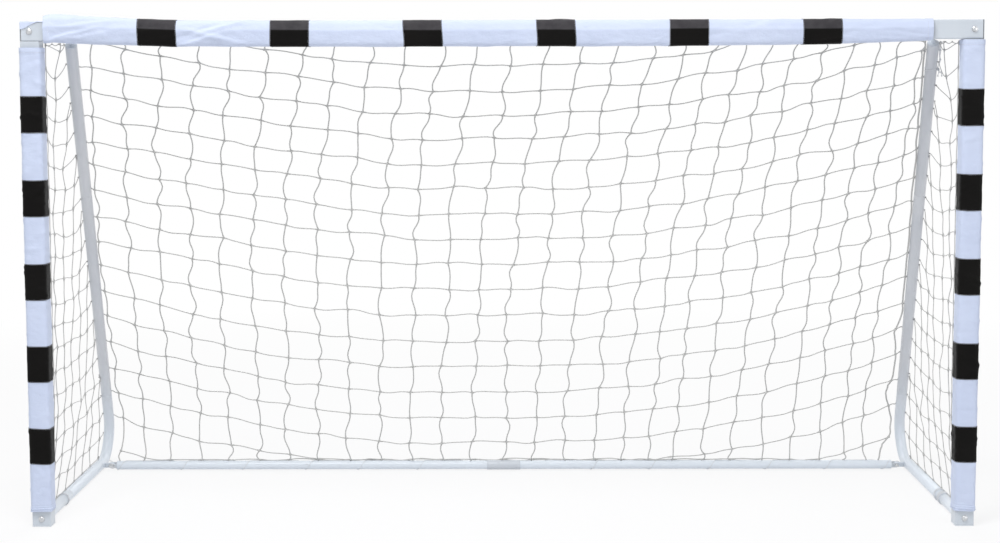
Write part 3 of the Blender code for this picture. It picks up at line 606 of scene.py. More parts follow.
def section_spots(half_back, half_up, power, lip, count, fold=None):
    """Points at even steps of cloth round a section, from one lip of its rear slit to the other.

    Where a fold's height above the middle is given, one point of the front keeps to it."""
    cosine = np.cos(ROUND_STEPS)
    sine = np.sin(ROUND_STEPS)
    back = half_back * np.sign(cosine) * np.abs(cosine) ** (2.0 / power)
    up = half_up * np.sign(sine) * np.abs(sine) ** (2.0 / power)
    run = np.concatenate([[0.0], np.cumsum(np.hypot(np.diff(back), np.diff(up)))])
    wanted = np.linspace(lip, run[-1] - lip, count)
    if fold is not None:
        front = run[len(run) // 2] - fold
        upper = np.linspace(lip, front, FOLD_STEP + 1)
        wanted = np.concatenate([upper, np.linspace(front, run[-1] - lip, count - FOLD_STEP)[1:]])
    return np.interp(wanted, run, back), np.interp(wanted, run, up), wanted


def crease_field(rng, count, length, girth, slants, halves, widths, heights, rising):
    """Random creases of the cloth: where each lies on the flat cloth, and its slant and size."""
    field = []
    for _ in range(count):
        slant = math.radians(rng.uniform(*slants)) * (-1.0 if rng.random() < rising else 1.0)
        field.append((
            rng.uniform(0.0, length), rng.uniform(0.0, girth), math.cos(slant), math.sin(slant),
            rng.uniform(*halves), rng.uniform(*widths), rng.uniform(*heights) * rng.choice((1.0, 1.0, -0.7))))
    return field


def crease_height(field, along, around):
    """How far the creases lift the cloth. Each is a ridge, steep on one side and soft on the other."""
    total = np.zeros_like(along)
    for a, b, cosine, sine, half_length, width, height in field:
        run = ((along - a) * cosine + (around - b) * sine) / half_length
        off = ((around - b) * cosine - (along - a) * sine) / width
        off = np.where(off > 0.0, off, off * 2.4)
        fade = np.where(np.abs(run) < 1.0, np.cos(run.clip(-1.0, 1.0) * math.pi / 2.0) ** 2, 0.0)
        total += height * fade * np.exp(-off * off)
    return total


def wander(x, y, z):
    """Smooth noise, from about -1 to 1."""
    return noise.noise(Vector((x, y, z)))


def clamp(value, low=0.0, high=1.0):
    return max(low, min(high, value))


def ripple(along, around, scale, height, seed):
    flat = [wander(a * scale, b * scale, seed) for a, b in zip(along.ravel(), around.ravel())]
    return np.array(flat).reshape(along.shape) * height


def hem_height(along, low, high):
    """The sleeve's doubled ends stand a little higher, behind their line of stitches."""
    inset = np.minimum(along - low, high - along)
    return 0.0010 * np.clip((HEM - inset) / 0.003, 0.0, 1.0)


def uneven(around, seed):
    """How far a band's cut edge wanders to either side on its way round."""
    return np.array([0.0034 * wander(spot * 14.0, seed, 6.0) for spot in around])


def wrap_mesh(name, base, lift, run_along, run_around, thickness, material):
    """A sheet from a grid of base points, lifted along its normals, with its own thickness inwards."""
    along_step = np.gradient(base, axis=0)
    around_step = np.gradient(base, axis=1)
    normal = np.cross(along_step, around_step)
    normal /= np.linalg.norm(normal, axis=2, keepdims=True)
    outward = base - base.mean(axis=1, keepdims=True)
    inside_out = (normal * outward).sum() < 0.0
    if inside_out:
        normal = -normal
    points = base + normal * lift[:, :, None]
    rows, columns = lift.shape
    corners = []
    for row in range(rows - 1):
        first = row * columns
        for column in range(columns - 1):
            spot = first + column
            face = (spot, spot + columns, spot + columns + 1, spot + 1)
            corners.append(face[::-1] if inside_out else face)
    mesh = bpy.data.meshes.new(name)
    mesh.from_pydata(points.reshape(-1, 3).tolist(), [], corners)
    flat = mesh.uv_layers.new(name="cloth")
    u = run_along.ravel()
    v = run_around.ravel()
    flat.data.foreach_set("uv", np.array([(u[k], v[k]) for face in corners for k in face]).ravel())
    made = bpy.data.objects.new(name, mesh)
    bpy.context.scene.collection.objects.link(made)
    mesh.materials.append(material)
    pick(made)
    shell = made.modifiers.new("cloth", "SOLIDIFY")
    shell.thickness = thickness
    shell.offset = -1.0
    bpy.ops.object.modifier_apply(modifier=shell.name)
    bpy.ops.object.shade_smooth_by_angle(angle=math.radians(60.0))
    surfaces[name] = (points, normal)
    return made


surfaces = {}
white_cloth = cloth("white_woven_polyester", (0.63, 0.70, 0.875), (0.585, 0.655, 0.835), 0.72, 0.15)
BLACK = ((0.0056, 0.0051, 0.0047), (0.0034, 0.0031, 0.0029), 0.52, 0.02, 0.08)
black_cloth = cloth("black_woven_polyester", *BLACK)
# A copy of the black cloth for the crossbar's bands, which gets a painted highlight further down.
black_cloth_painted_highlight = cloth("black_polyester_painted_highlight", *BLACK)
CLOTH = 0.0012
HEM = 0.016
SLEEVE_ROUND = 76
FOLD_STEP = 36
SLEEVE_POWER = 8.0
SLIT = 0.0015
HINGE_SLIT = 0.020
BAR_FRONT = POST_FACE - 0.013
BAR_BACK = POST_FACE + 0.0652
BAR_TOP = 1.6022
BAR_LOW = 1.5375
BAR_SAG = 0.0160
BAR_PUFF = 0.0165
BAR_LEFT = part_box("crossbar_sleeve")[0].x
BAR_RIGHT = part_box("crossbar_sleeve")[1].x
HINGE_X = sum(corner.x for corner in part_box("left_top_hinge")) / 2.0
BAR_HALF_DEEP = (BAR_BACK - BAR_FRONT) / 2.0
BAR_HALF_HIGH = 0.041
BAR_FOLD_RISE = 0.006
bar_girth = section_spots(
    BAR_HALF_DEEP, BAR_HALF_HIGH, SLEEVE_POWER, SLIT, SLEEVE_ROUND, BAR_FOLD_RISE)[2]
bar_rng = random.Random(11)
bar_creases = crease_field(
    bar_rng, 64, BAR_RIGHT - BAR_LEFT, bar_girth[-1], slants=(7.0, 26.0), halves=(0.05, 0.17),
    widths=(0.007, 0.016), heights=(0.0012, 0.0026), rising=0.8)
bar_creases += crease_field(
    bar_rng, 26, 0.62, bar_girth[-1], slants=(8.0, 22.0), halves=(0.08, 0.22),
    widths=(0.008, 0.018), heights=(0.0028, 0.0056), rising=0.95)


def bar_section(x):
    """The sleeve's base points round one place of the crossbar, sloped back above a fold in its front."""
    middle_share = abs((x - (BAR_LEFT + BAR_RIGHT) / 2.0) / ((BAR_RIGHT - BAR_LEFT) / 2.0))
    end_grip = 1.0 - 0.45 * math.exp(-((x - BAR_LEFT) / 0.014))
    puff = BAR_PUFF * clamp((-1.0 - x) / 0.40) ** 0.9 * end_grip
    top = BAR_TOP + puff
    low = BAR_LOW - BAR_SAG * (1.0 - min(1.0, middle_share) ** 5)
    share = 0.39 + 0.06 * wander(x * 2.3, 4.0, 0.0)
    fold = (top + low) / 2.0 + (top - low) * (0.5 - share)
    lean = 0.0090 + 0.0010 * wander(x * 1.7, 9.0, 0.0)
    near_hinge = clamp((0.041 - abs(x - HINGE_X)) / 0.018)
    lip = SLIT + (HINGE_SLIT - SLIT) * near_hinge
    back, up, _ = section_spots(
        BAR_HALF_DEEP, (top - low) / 2.0, SLEEVE_POWER, lip, SLEEVE_ROUND, (top - low) * (0.5 - share))
    y = (BAR_BACK + BAR_FRONT) / 2.0 + back
    z = (top + low) / 2.0 + up
    front = np.clip(-back / 0.02, 0.0, 1.0)
    y += np.where(z > fold, lean * (z - fold) / (top - fold), 0.0055 * (fold - z) / (fold - low)) * front
    return np.stack([np.full_like(y, x), y, z], axis=1)


def bar_sheet(name, low, high, lift, thickness, material, step=0.0070):
    count = max(8, int((high - low) / step))
    places = np.linspace(low, high, count)
    base = np.array([bar_section(x) for x in places])
    along, around = np.meshgrid(places - BAR_LEFT, bar_girth, indexing="ij")
    if lift:
        along = along + uneven(bar_girth, low * 7.0)[None, :]
        base[:, :, 0] = BAR_LEFT + along
    height = crease_height(bar_creases, along, around)
    height += ripple(along, around, 22.0, 0.0007, 1.5) + ripple(along, around, 60.0, 0.00025, 7.5)
    loose = np.clip((POST_FACE - 0.003 - base[:, :, 1]) / 0.004, 0.0, 1.0)
    height = np.maximum(height, -0.0008 - 0.004 * loose)
    height = height * (np.sin(np.pi * np.linspace(0.0, 1.0, SLEEVE_ROUND)) ** 0.5)[None, :]
    height += hem_height(along, 0.0, BAR_RIGHT - BAR_LEFT)
    return wrap_mesh(name, base, height + lift, along, around, thickness, material)


# The crossbar's bands get a painted highlight: they are painted grey above the fold, where light falls on the
# sloping cloth.
fold_at = float(bar_girth[FOLD_STEP])
tree = black_cloth_painted_highlight.node_tree
shader = tree.nodes["Principled BSDF"]
tone = shader.inputs["Base Color"].links[0].from_socket
upper = ramp(tree, parts_of(tree, "UV")["Y"], greys(
    (0.030, 0.0), (0.045, 1.0), (fold_at - 0.0030, 1.0), (fold_at + 0.0005, 0.0)))
grey = ramp(tree, cloud(tree, 30.0, 4.0), [(0.3, (0.040, 0.038, 0.042)), (0.7, (0.060, 0.057, 0.062))])
tree.links.new(mixed(tree, upper, tone, grey), shader.inputs["Base Color"])

bar_sleeve = bar_sheet("bar_sleeve_cloth", BAR_LEFT, BAR_RIGHT, 0.0, CLOTH, white_cloth)
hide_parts("crossbar_sleeve")
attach(bar_sleeve, "goal_mouth")

BAND_LIFT = 0.0009
BAND_CLOTH = 0.0007
BAR_BANDS = 6
for index in range(BAR_BANDS):
    low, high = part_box(f"crossbar_band_{index + 1}")
    made = bar_sheet(
        f"bar_band_cloth_{index + 1}", low.x, high.x, BAND_LIFT, BAND_CLOTH, black_cloth_painted_highlight, 0.0050)
    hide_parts(f"crossbar_band_{index + 1}")
    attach(made, "goal_mouth")


# Sleeve flap. At the crossbar's left end a thin tongue of the sleeve lies over the tube's top, and
# its front edge hangs over the face in a slant above the bolt.
FLAP_END = -1.4985
FLAP_START = BAR_LEFT + 0.014
FLAP_DROP = 0.0245
FLAP_LIFT = 0.0010
FLAP_REAR = 0.0555
TUBE_TOP = 1.600
flap_places = np.linspace(FLAP_END, FLAP_START, 26)
flap_run = np.linspace(0.0, 1.0, 30)
flap_base = []
for x in flap_places:
    fallen = max(0.0, (BAR_LEFT - x) / (BAR_LEFT - FLAP_END)) ** 1.3
    drop = FLAP_DROP * fallen * fallen * (3.0 - 2.0 * fallen) + 0.0012 * wander(x * 60.0, 0.0, 3.0)
    row = []
    for share in flap_run:
        reach = share * (0.056 + max(0.0015, drop))
        if reach < 0.056:
            row.append((x, POST_FACE + FLAP_REAR - reach, TUBE_TOP + FLAP_LIFT))
        else:
            row.append((x, POST_FACE - FLAP_LIFT - 0.0005, TUBE_TOP + FLAP_LIFT - (reach - 0.056)))
    flap_base.append(row)
flap_along, flap_around = np.meshgrid(flap_places - FLAP_END, flap_run * 0.075, indexing="ij")
flap_wave = 0.0006 + ripple(flap_along, flap_around, 45.0, 0.0006, 4.5)
flap = wrap_mesh(
    "bar_sleeve_flap", np.array(flap_base), flap_wave, flap_along, flap_around, 0.0007, white_cloth)
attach(flap, "goal_mouth")


# Post sleeves. The same cloth goes round each post, closed behind, from just above the foot bolt to
# the crossbar. It is slack, so it has short cross creases, and its foot is gathered into a hem.
POST_OUTER = 1.5045
POST_HALF = 0.0348
POST_HALF_FOOT = 0.0338
POST_FRONT = POST_FACE - 0.0075
POST_BACK = POST_FACE + 0.0652
HEM_RISE = 0.028
POST_POWER = 5.5
POST_HALF_DEEP = (POST_BACK - POST_FRONT) / 2.0
post_girth = section_spots(POST_HALF_DEEP, POST_HALF, POST_POWER, SLIT, SLEEVE_ROUND)[2]


def post_section(sign, z):
    taper = clamp((z - 0.050) / 0.25)
    half = POST_HALF_FOOT + (POST_HALF - POST_HALF_FOOT) * taper
    sway = 0.0010 * wander(z * 6.0, sign * 5.0, 2.0)
    back, across, _ = section_spots(POST_HALF_DEEP, half, POST_POWER, SLIT, SLEEVE_ROUND)
    x = sign * (POST_OUTER - half) + sway + across
    return np.stack([x, (POST_BACK + POST_FRONT) / 2.0 + back, np.full_like(x, z)], axis=1)


def post_sheet(name, sign, low, high, lift, thickness, material, creases, foot, head):
    if low == foot:
        fine = foot + 0.0012 * np.arange(int(HEM_RISE / 0.0012))
        places = np.concatenate([fine, np.linspace(fine[-1] + 0.004, high, int((high - fine[-1]) / 0.0066))])
    else:
        places = np.linspace(low, high, max(8, int((high - low) / 0.0048)))
    base = np.array([post_section(sign, z) for z in places])
    along, around = np.meshgrid(places, post_girth, indexing="ij")
    if lift:
        along = along + uneven(post_girth, low * 9.0 + sign)[None, :]
        base[:, :, 2] = along
    height = crease_height(creases, along, around)
    height += (
        ripple(along, around, 26.0, 0.0008, 3.5 + sign) + ripple(along, around, 75.0, 0.0003, 8.5 + sign))
    loose = np.clip((POST_FACE - 0.002 - base[:, :, 1]) / 0.004, 0.0, 1.0)
    height = np.maximum(height, -0.0006 - 0.0035 * loose)
    gather = np.clip((foot + HEM_RISE - along) / HEM_RISE, 0.0, 1.0)
    pleat = np.sin(
        along * math.tau / 0.0072 + 2.2 * np.sin(around * 34.0) + 5.0 * np.sin(around * 11.0 + sign))
    height += gather * 0.0014 * pleat
    height = height * (np.sin(np.pi * np.linspace(0.0, 1.0, SLEEVE_ROUND)) ** 0.5)[None, :]
    height += hem_height(along, foot, head)
    return wrap_mesh(name, base, height + lift, along, around, thickness, material)


POST_BANDS = 5
for side, sign in SIDES:
    low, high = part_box(side + "_post_sleeve")
    rng = random.Random(23 if side == "left" else 37)
    creases = crease_field(
        rng, 190, high.z, post_girth[-1], slants=(45.0, 88.0), halves=(0.018, 0.060),
        widths=(0.005, 0.010), heights=(0.0011, 0.0026), rising=0.5)
    made = post_sheet(
        side + "_post_sleeve_cloth", sign, low.z, high.z, 0.0, CLOTH, white_cloth, creases, low.z, high.z)
    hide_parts(side + "_post_sleeve")
    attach(made, "goal_mouth")
    for index in range(POST_BANDS):
        band_low, band_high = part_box(f"{side}_post_band_{index + 1}")
        made = post_sheet(
            f"{side}_post_band_cloth_{index + 1}", sign, band_low.z, band_high.z, BAND_LIFT, BAND_CLOTH,
            black_cloth, creases, low.z, high.z)
        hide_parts(f"{side}_post_band_{index + 1}")
        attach(made, "goal_mouth")


# Stitching. Each black band is sewn on along both edges, and the sleeves' doubled ends are sewn down,
# in short stitches of white thread. All the stitches of one sleeve are one piece.
def strand_mesh(name, lines, sides, material):
    """Tubes of thread or twine. Each line is a list of (point, radius); its lay goes to the UV map."""
    verts = []
    faces = []
    flats = []
    for line in lines:
        spots = [Vector(point) for point, _ in line]
        run = 0.0
        side_axis = None
        first = len(verts)
        runs = []
        for index, spot in enumerate(spots):
            ahead = spots[min(index + 1, len(spots) - 1)] - spots[max(index - 1, 0)]
            ahead.normalize()
            if side_axis is None:
                side_axis = ahead.orthogonal().normalized()
            side_axis = (side_axis - ahead * side_axis.dot(ahead)).normalized()
            other = ahead.cross(side_axis)
            if index:
                run += (spot - spots[index - 1]).length
            runs.append(run)
            radius = line[index][1]
            for turn in range(sides):
                angle = math.tau * turn / sides
                verts.append(spot + (side_axis * math.cos(angle) + other * math.sin(angle)) * radius)
        for index in range(len(spots) - 1):
            for turn in range(sides):
                after = (turn + 1) % sides
                low = first + index * sides
                high = low + sides
                faces.append((low + turn, low + after, high + after, high + turn))
                flats.extend((
                    (runs[index], turn / sides), (runs[index], (turn + 1) / sides),
                    (runs[index + 1], (turn + 1) / sides), (runs[index + 1], turn / sides)))
        last = first + (len(spots) - 1) * sides
        faces.append(tuple(first + turn for turn in reversed(range(sides))))
        faces.append(tuple(last + turn for turn in range(sides)))
        flats.extend([(0.0, 0.0)] * sides + [(run, 0.0)] * sides)
    mesh = bpy.data.meshes.new(name)
    mesh.from_pydata([tuple(vert) for vert in verts], [], faces)
    flat = mesh.uv_layers.new(name="lay")
    flat.data.foreach_set("uv", np.array(flats).ravel())
    mesh.shade_smooth()
    mesh.materials.append(material)
    made = bpy.data.objects.new(name, mesh)
    bpy.context.scene.collection.objects.link(made)
    return made


def laid(name, colour, shade, pitch):
    """Twisted twine: its strands wind round it, once in every pitch of its length. The grooves between the
    strands are painted darker, as painted shade.
    """
    made, tree, shader = finish(name, colour, 0.62)
    place = parts_of(tree, "UV")
    along = arithmetic(tree, "MULTIPLY", place["X"], math.tau * 3.0 / pitch)
    round_it = arithmetic(tree, "MULTIPLY", place["Y"], math.tau * 3.0)
    strand = arithmetic(tree, "SINE", arithmetic(tree, "ADD", along, round_it), 0.0)
    strand = arithmetic(tree, "MULTIPLY", arithmetic(tree, "ADD", strand, 1.0), 0.5)
    # Painted shade: the tone darkens towards the grooves between the strands.
    tone = ramp(tree, strand, [(0.0, shade), (0.6, colour)])
    tree.links.new(tone, shader.inputs["Base Color"])
    bump(tree, shader, strand, 0.5, 0.0006)
    return made


STITCH = 0.0042
STITCH_STEP = 0.0064
THREAD = 0.00042


def stitches(row, normals, near, share):
    """Stitches along one row of a sheet's points, moved a share of the way to the next row."""
    path = row + (near - row) * share
    run = np.concatenate([[0.0], np.cumsum(np.linalg.norm(np.diff(path, axis=0), axis=1))])
    lines = []
    for start in np.arange(0.004, run[-1] - 0.008, STITCH_STEP):
        line = []
        for part, rise in ((0.0, -0.0003), (0.2, 0.0003), (0.8, 0.0003), (1.0, -0.0003)):
            at = start + STITCH * part
            spot = [np.interp(at, run, path[:, axis]) for axis in range(3)]
            up = [np.interp(at, run, normals[:, axis]) for axis in range(3)]
            line.append((Vector(spot) + Vector(up) * rise, THREAD))
        lines.append(line)
    return lines


white_thread = laid("white_sewing_thread", (0.66, 0.69, 0.76), (0.48, 0.50, 0.56), 0.003)
SEWN = {"bar": ["bar_sleeve_cloth"] + [f"bar_band_cloth_{index + 1}" for index in range(BAR_BANDS)]}
for side, sign in SIDES:
    bands = [f"{side}_post_band_cloth_{index + 1}" for index in range(POST_BANDS)]
    SEWN[side + "_post"] = [side + "_post_sleeve_cloth"] + bands
for sleeve, sheets in SEWN.items():
    lines = []
    for name in sheets:
        points, normals = surfaces[name]
        inset = 2 if name == sheets[0] else 0
        for edge, ahead in ((inset, inset + 1), (-1 - inset, -2 - inset)):
            lines += stitches(points[edge], normals[edge], points[ahead], 0.35)
    made = strand_mesh(sleeve + "_sleeve_stitches", lines, 5, white_thread)
    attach(made, "goal_mouth")


# Back net. Knotted polyethylene twine in squares of eleven centimetres hangs from the crossbar, is
# laced to the stays and ends on the back bar. It droops in the middle and is drawn up to the right.
net_twine = laid("grey_white_net_twine", (0.62, 0.62, 0.605), (0.46, 0.46, 0.45), 0.012)
UPRIGHT = 0.0022
LEVEL = 0.0018
KNOT = 0.0030
NET_COLUMNS = 28
NET_ROWS = 18
NET_TOP = 1.535
NET_LOW = 0.046
NET_ON_BAR = 0.0362
NET_TOP_DEPTH = 0.110
NET_BAR_DEPTH = 0.905
NET_EDGE = 0.021
NET_BELLY = 0.020
SEGMENT = 7
SEAM_COLUMN = 12
SELVAGE = 0.0029
EDGE_HEIGHTS = (
    0.046, 0.074, 0.092, 0.115, 0.133, 0.174, 0.228, 0.265, 0.301, 0.335, 0.388, 0.453, 0.496, 0.530, 0.593)
EDGE_INSETS = (
    0.091, 0.075, 0.063, 0.037, 0.027, 0.015, 0.028, 0.040, 0.036, 0.024, 0.016, 0.017, 0.024, 0.023, 0.004)
net_rng = random.Random(5)


def stay_line(z):
    """Where the middle of a stay stands at a height: how far out, and how far behind the posts' face."""
    out_at = FOOT_X - (z - HINGE_FOOT) * math.tan(HINGE_LEAN)
    return out_at, HINGE_DEPTH + (HINGE_TOP - z) * SIDE_REACH / (HINGE_TOP - HINGE_FOOT)


def net_point(x, z, away=0.0):
    """A point of the back net's sheet, which curves back to the stays at its sides."""
    out_at, on_stay = stay_line(z)
    share = min(1.0, abs(x) / (out_at - NET_EDGE))
    rise = (z - NET_LOW) / (NET_TOP - NET_LOW)
    middle = NET_BAR_DEPTH + (NET_TOP_DEPTH - NET_BAR_DEPTH) * rise
    middle -= NET_BELLY * math.sin(math.pi * clamp(rise)) * (1.0 - share * share)
    edge = min(on_stay, NET_BAR_DEPTH + 0.9 * max(0.0, z - NET_LOW))
    return Vector((x, POST_FACE + middle + (edge - middle) * share ** 4 + away, z))


def column_place(column, z):
    """How far across a strand of the net hangs. The strands slide to the left on their way down."""
    down = clamp(1.0 - (z - NET_LOW) / (NET_TOP - NET_LOW))
    reach = stay_line(z)[0] - NET_EDGE
    if column == NET_COLUMNS - 1:
        return reach - float(np.interp(z, EDGE_HEIGHTS, EDGE_INSETS))
    top = -1.297 + 0.1115 * column - 0.00223 * max(0, column - 15) ** 2
    share = top / 1.360
    slide = 0.155 * (1.0 - math.exp(-2.2 * down)) / (1.0 - math.exp(-2.2))
    top -= 0.022 * math.exp(-((column - 21.0) / 2.6) ** 2)
    hold = 1.0 - 0.22 * abs(share) ** 3 if share < 0.0 else clamp((1.03 - share) / 0.44)
    if column == 0:
        slide -= 0.030 * down ** 6
    return clamp(top - slide * hold, -reach + 0.003, reach - 0.012)


def row_height(row, x):
    """How high a row of the net hangs: lowest left of the middle, and drawn up to both stays."""
    share = x / 1.400
    lift = 0.172 * max(0.0, (-share - 0.2) / 0.8) ** 1.35 if share < 0.0 else 0.218 * share ** 2.05
    sag = 0.020 * math.exp(-((x + 0.80) / 0.40) ** 2 - ((row - 12.0) / 2.5) ** 2)
    return 1.460 - 0.0755 * row - 0.00098 * row * row + lift - sag


def crossing(column, row):
    """Where a strand and a row cross, and how high the row would be if nothing stopped it."""
    z = row_height(row, -1.297 + 0.1115 * column)
    for _ in range(12):
        z = row_height(row, column_place(column, clamp(z, NET_ON_BAR, NET_TOP)))
    inner = 0 < column < NET_COLUMNS - 1
    drift = 0.010 * wander(column * 0.35, row * 0.30, 2.0)
    x = column_place(column, clamp(z, NET_ON_BAR, NET_TOP))
    x += (drift + 0.0035 * (-1.0) ** (column + row) + net_rng.uniform(-0.005, 0.005)) * inner
    free = z + net_rng.uniform(-0.005, 0.005) + 0.006 * wander(column * 0.4, row * 0.4, 8.0)
    on_bar = NET_ON_BAR + 0.0005 + 0.004 * abs(wander(column * 1.7, row * 2.1, 4.0))
    return net_point(x, clamp(free, on_bar, NET_TOP), net_rng.uniform(-0.004, 0.004)), z


crossings = {}
for column in range(NET_COLUMNS):
    for row in range(NET_ROWS):
        crossings[column, row] = crossing(column, row)


def run_through(spots, bows, thick):
    """A strand through its knots: thicker at each knot, and bent into a bow or an S between them."""
    line = []
    count = len(spots)
    for index in range(count - 1):
        before = spots[max(index - 1, 0)]
        start = spots[index]
        end = spots[index + 1]
        after = spots[min(index + 2, count - 1)]
        bow, swing = bows[index]
        for step in range(SEGMENT + (1 if index == count - 2 else 0)):
            t = step / SEGMENT
            point = 0.5 * (
                2.0 * start + (end - before) * t + (2.0 * before - 5.0 * start + 4.0 * end - after) * t * t
                + (3.0 * start - before - 3.0 * end + after) * t ** 3)
            swell = math.exp(-(min(t, 1.0 - t) * SEGMENT / 0.45) ** 2)
            point = point + bow * math.sin(math.pi * t) + swing * math.sin(2.0 * math.pi * t)
            line.append((point, thick + (KNOT - thick) * swell))
    return line


def slack(rng, across, up):
    """The bow and the swing of one stretch of twine between two knots."""
    bow = Vector((rng.uniform(-across, across), rng.uniform(-0.003, 0.003), rng.uniform(-up, up)))
    swing = Vector((rng.uniform(-across, across), 0.0, rng.uniform(-up, up))) * 0.55
    return bow, swing


def knot_loop(spot, lean, size=0.0042, cord=0.0012):
    """The small turn of twine that closes a mesh knot."""
    tilt = Matrix.Rotation(lean, 3, "Y") @ Matrix.Rotation(0.9, 3, "X")
    ring = []
    steps = 9
    for step in range(steps + 1):
        angle = math.tau * step / steps
        offset = tilt @ Vector((size * math.cos(angle), size * 0.7 * math.sin(angle), 0.0))
        ring.append((spot + offset, cord))
    return ring


def stay_hold(sign, z):
    """Where a row's end is tied, on the inner rear side of the stay."""
    out_at, on_stay = stay_line(z)
    return Vector((sign * (out_at - 0.0150), POST_FACE + on_stay + 0.0150, z))


for side, sign in SIDES:
    columns = range(0, SEAM_COLUMN + 1) if side == "left" else range(SEAM_COLUMN + 1, NET_COLUMNS)
    rng = random.Random(41 if side == "left" else 43)
    lines = []
    for column in columns:
        spots = [net_point(column_place(column, NET_TOP), NET_TOP)]
        for row in range(NET_ROWS):
            spot, free = crossings[column, row]
            if NET_LOW + 0.010 < free < NET_TOP - 0.012:
                spots.append(spot)
        foot = net_point(column_place(column, NET_LOW) + rng.uniform(-0.010, 0.010), NET_LOW)
        spots.append(Vector((foot.x, POST_FACE + NET_BAR_DEPTH, NET_ON_BAR - 0.002)))
        if column == NET_COLUMNS - 1:
            between = [z for z in EDGE_HEIGHTS[1:] if min(abs(z - spot.z) for spot in spots) > 0.012]
            spots += [net_point(column_place(column, z), z) for z in between]
            spots.sort(key=lambda spot: -spot.z)
            lines.append(run_through(spots, [slack(rng, 0.002, 0.0) for _ in spots], SELVAGE))
        else:
            lines.append(run_through(spots, [slack(rng, 0.0105, 0.0) for _ in spots], UPRIGHT))
    reach = list(columns) if side == "left" else [SEAM_COLUMN] + list(columns)
    for row in range(NET_ROWS):
        inside = [column for column in reach if crossings[column, row][1] < NET_TOP - 0.012]
        if len(inside) < 2:
            continue
        spots = [crossings[column, row][0] for column in inside]
        outer = inside[0] if side == "left" else inside[-1]
        beyond = outer - 1 if side == "left" else outer + 1
        if beyond in (-1, NET_COLUMNS):
            if spots[0 if side == "left" else -1].z > 0.175:
                hold = stay_hold(sign, (spots[0] if side == "left" else spots[-1]).z + 0.004)
                spots = [hold] + spots if side == "left" else spots + [hold]
        elif beyond in reach:
            inner, outside = crossings[outer, row], crossings[beyond, row]
            share = (NET_TOP - inner[1]) / (outside[1] - inner[1])
            end = inner[0].lerp(outside[0], clamp(share, 0.1, 1.0))
            end.z = NET_TOP
            spots = [end] + spots if side == "left" else spots + [end]
        bows = [slack(rng, 0.0, 0.0040) for _ in spots]
        lines.append(run_through(spots, bows, LEVEL))
    ends = [net_point(column_place(column, NET_TOP), NET_TOP) for column in reach]
    lines.append(run_through(ends, [slack(rng, 0.0, 0.001) for _ in ends], LEVEL))
    for column in columns:
        for row in range(NET_ROWS):
            spot, free = crossings[column, row]
            if NET_LOW + 0.010 < free < NET_TOP - 0.012:
                lines.append(knot_loop(spot, rng.uniform(-0.8, 0.8)))
    made = strand_mesh(side + "_back_net", lines, 7, net_twine)
    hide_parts("net_back")
    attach(made, "goal_mouth")
    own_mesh(made)


# Side nets. Each is a three-cornered piece of the same netting between the post, the ground leg and
# the stay. It is tied to the post.
SIDE_STEP = 0.115
SIDE_FIRST = 0.050
SIDE_ROW = 0.0745
SIDE_LOW = 0.0375
SIDE_START = 1.4365
SIDE_START_DEPTH = 0.0695
SIDE_START_FOOT = 0.045
SIDE_UPRIGHT = 0.0014
SIDE_LEVEL = 0.0013


def side_start(z):
    """Where the net's front edge is tied: at the post's inner corner, and on top of the leg at the foot."""
    low = clamp((0.40 - z) / 0.36)
    return Vector((SIDE_START + SIDE_START_FOOT * low * low, SIDE_START_DEPTH))


def side_edge(z):
    """The inner edge of the bent tube at a height: how far out, and how far behind the posts' face."""
    out_at, on_stay = stay_line(z)
    out_at += SIDE_RADIUS * clamp(0.70 + 2.7 * (z - 0.045), 0.70, 0.97)
    rise = z - HINGE_FOOT - SIDE_BEND
    inner = SIDE_BEND - SIDE_RADIUS
    if z > HINGE_FOOT + SIDE_BEND + inner * math.cos(STAY_ANGLE):
        return Vector((out_at, on_stay - SIDE_RADIUS * 0.45 / math.sin(STAY_ANGLE)))
    return Vector((out_at, HINGE_DEPTH + BEND_START + math.sqrt(max(0.0, inner * inner - rise * rise))))


def side_net_point(sign, run, z, away=0.0):
    """A point of a side net at a distance from the post, on the straight line to the bent tube."""
    edge = side_edge(z)
    start = side_start(z)
    spot = start.lerp(edge, min(1.0, run / (edge - start).length))
    return Vector((sign * (spot.x - away), POST_FACE + spot.y, z))


def side_width(z):
    return (side_edge(z) - side_start(z)).length


def side_run(column, z):
    """How far from the post a strand hangs. The strands spread a little on their way down."""
    return (SIDE_FIRST + SIDE_STEP * (column - 1)) * (1.0 + 0.14 * (1.2 - z)) if column else 0.0


def side_column_top(column):
    """The height at which a strand meets the stay."""
    heights = np.linspace(0.12, NET_TOP - 0.002, 400)
    reached = [z for z in heights if side_width(z) >= side_run(column, z)]
    return max(reached) if reached else 0.12


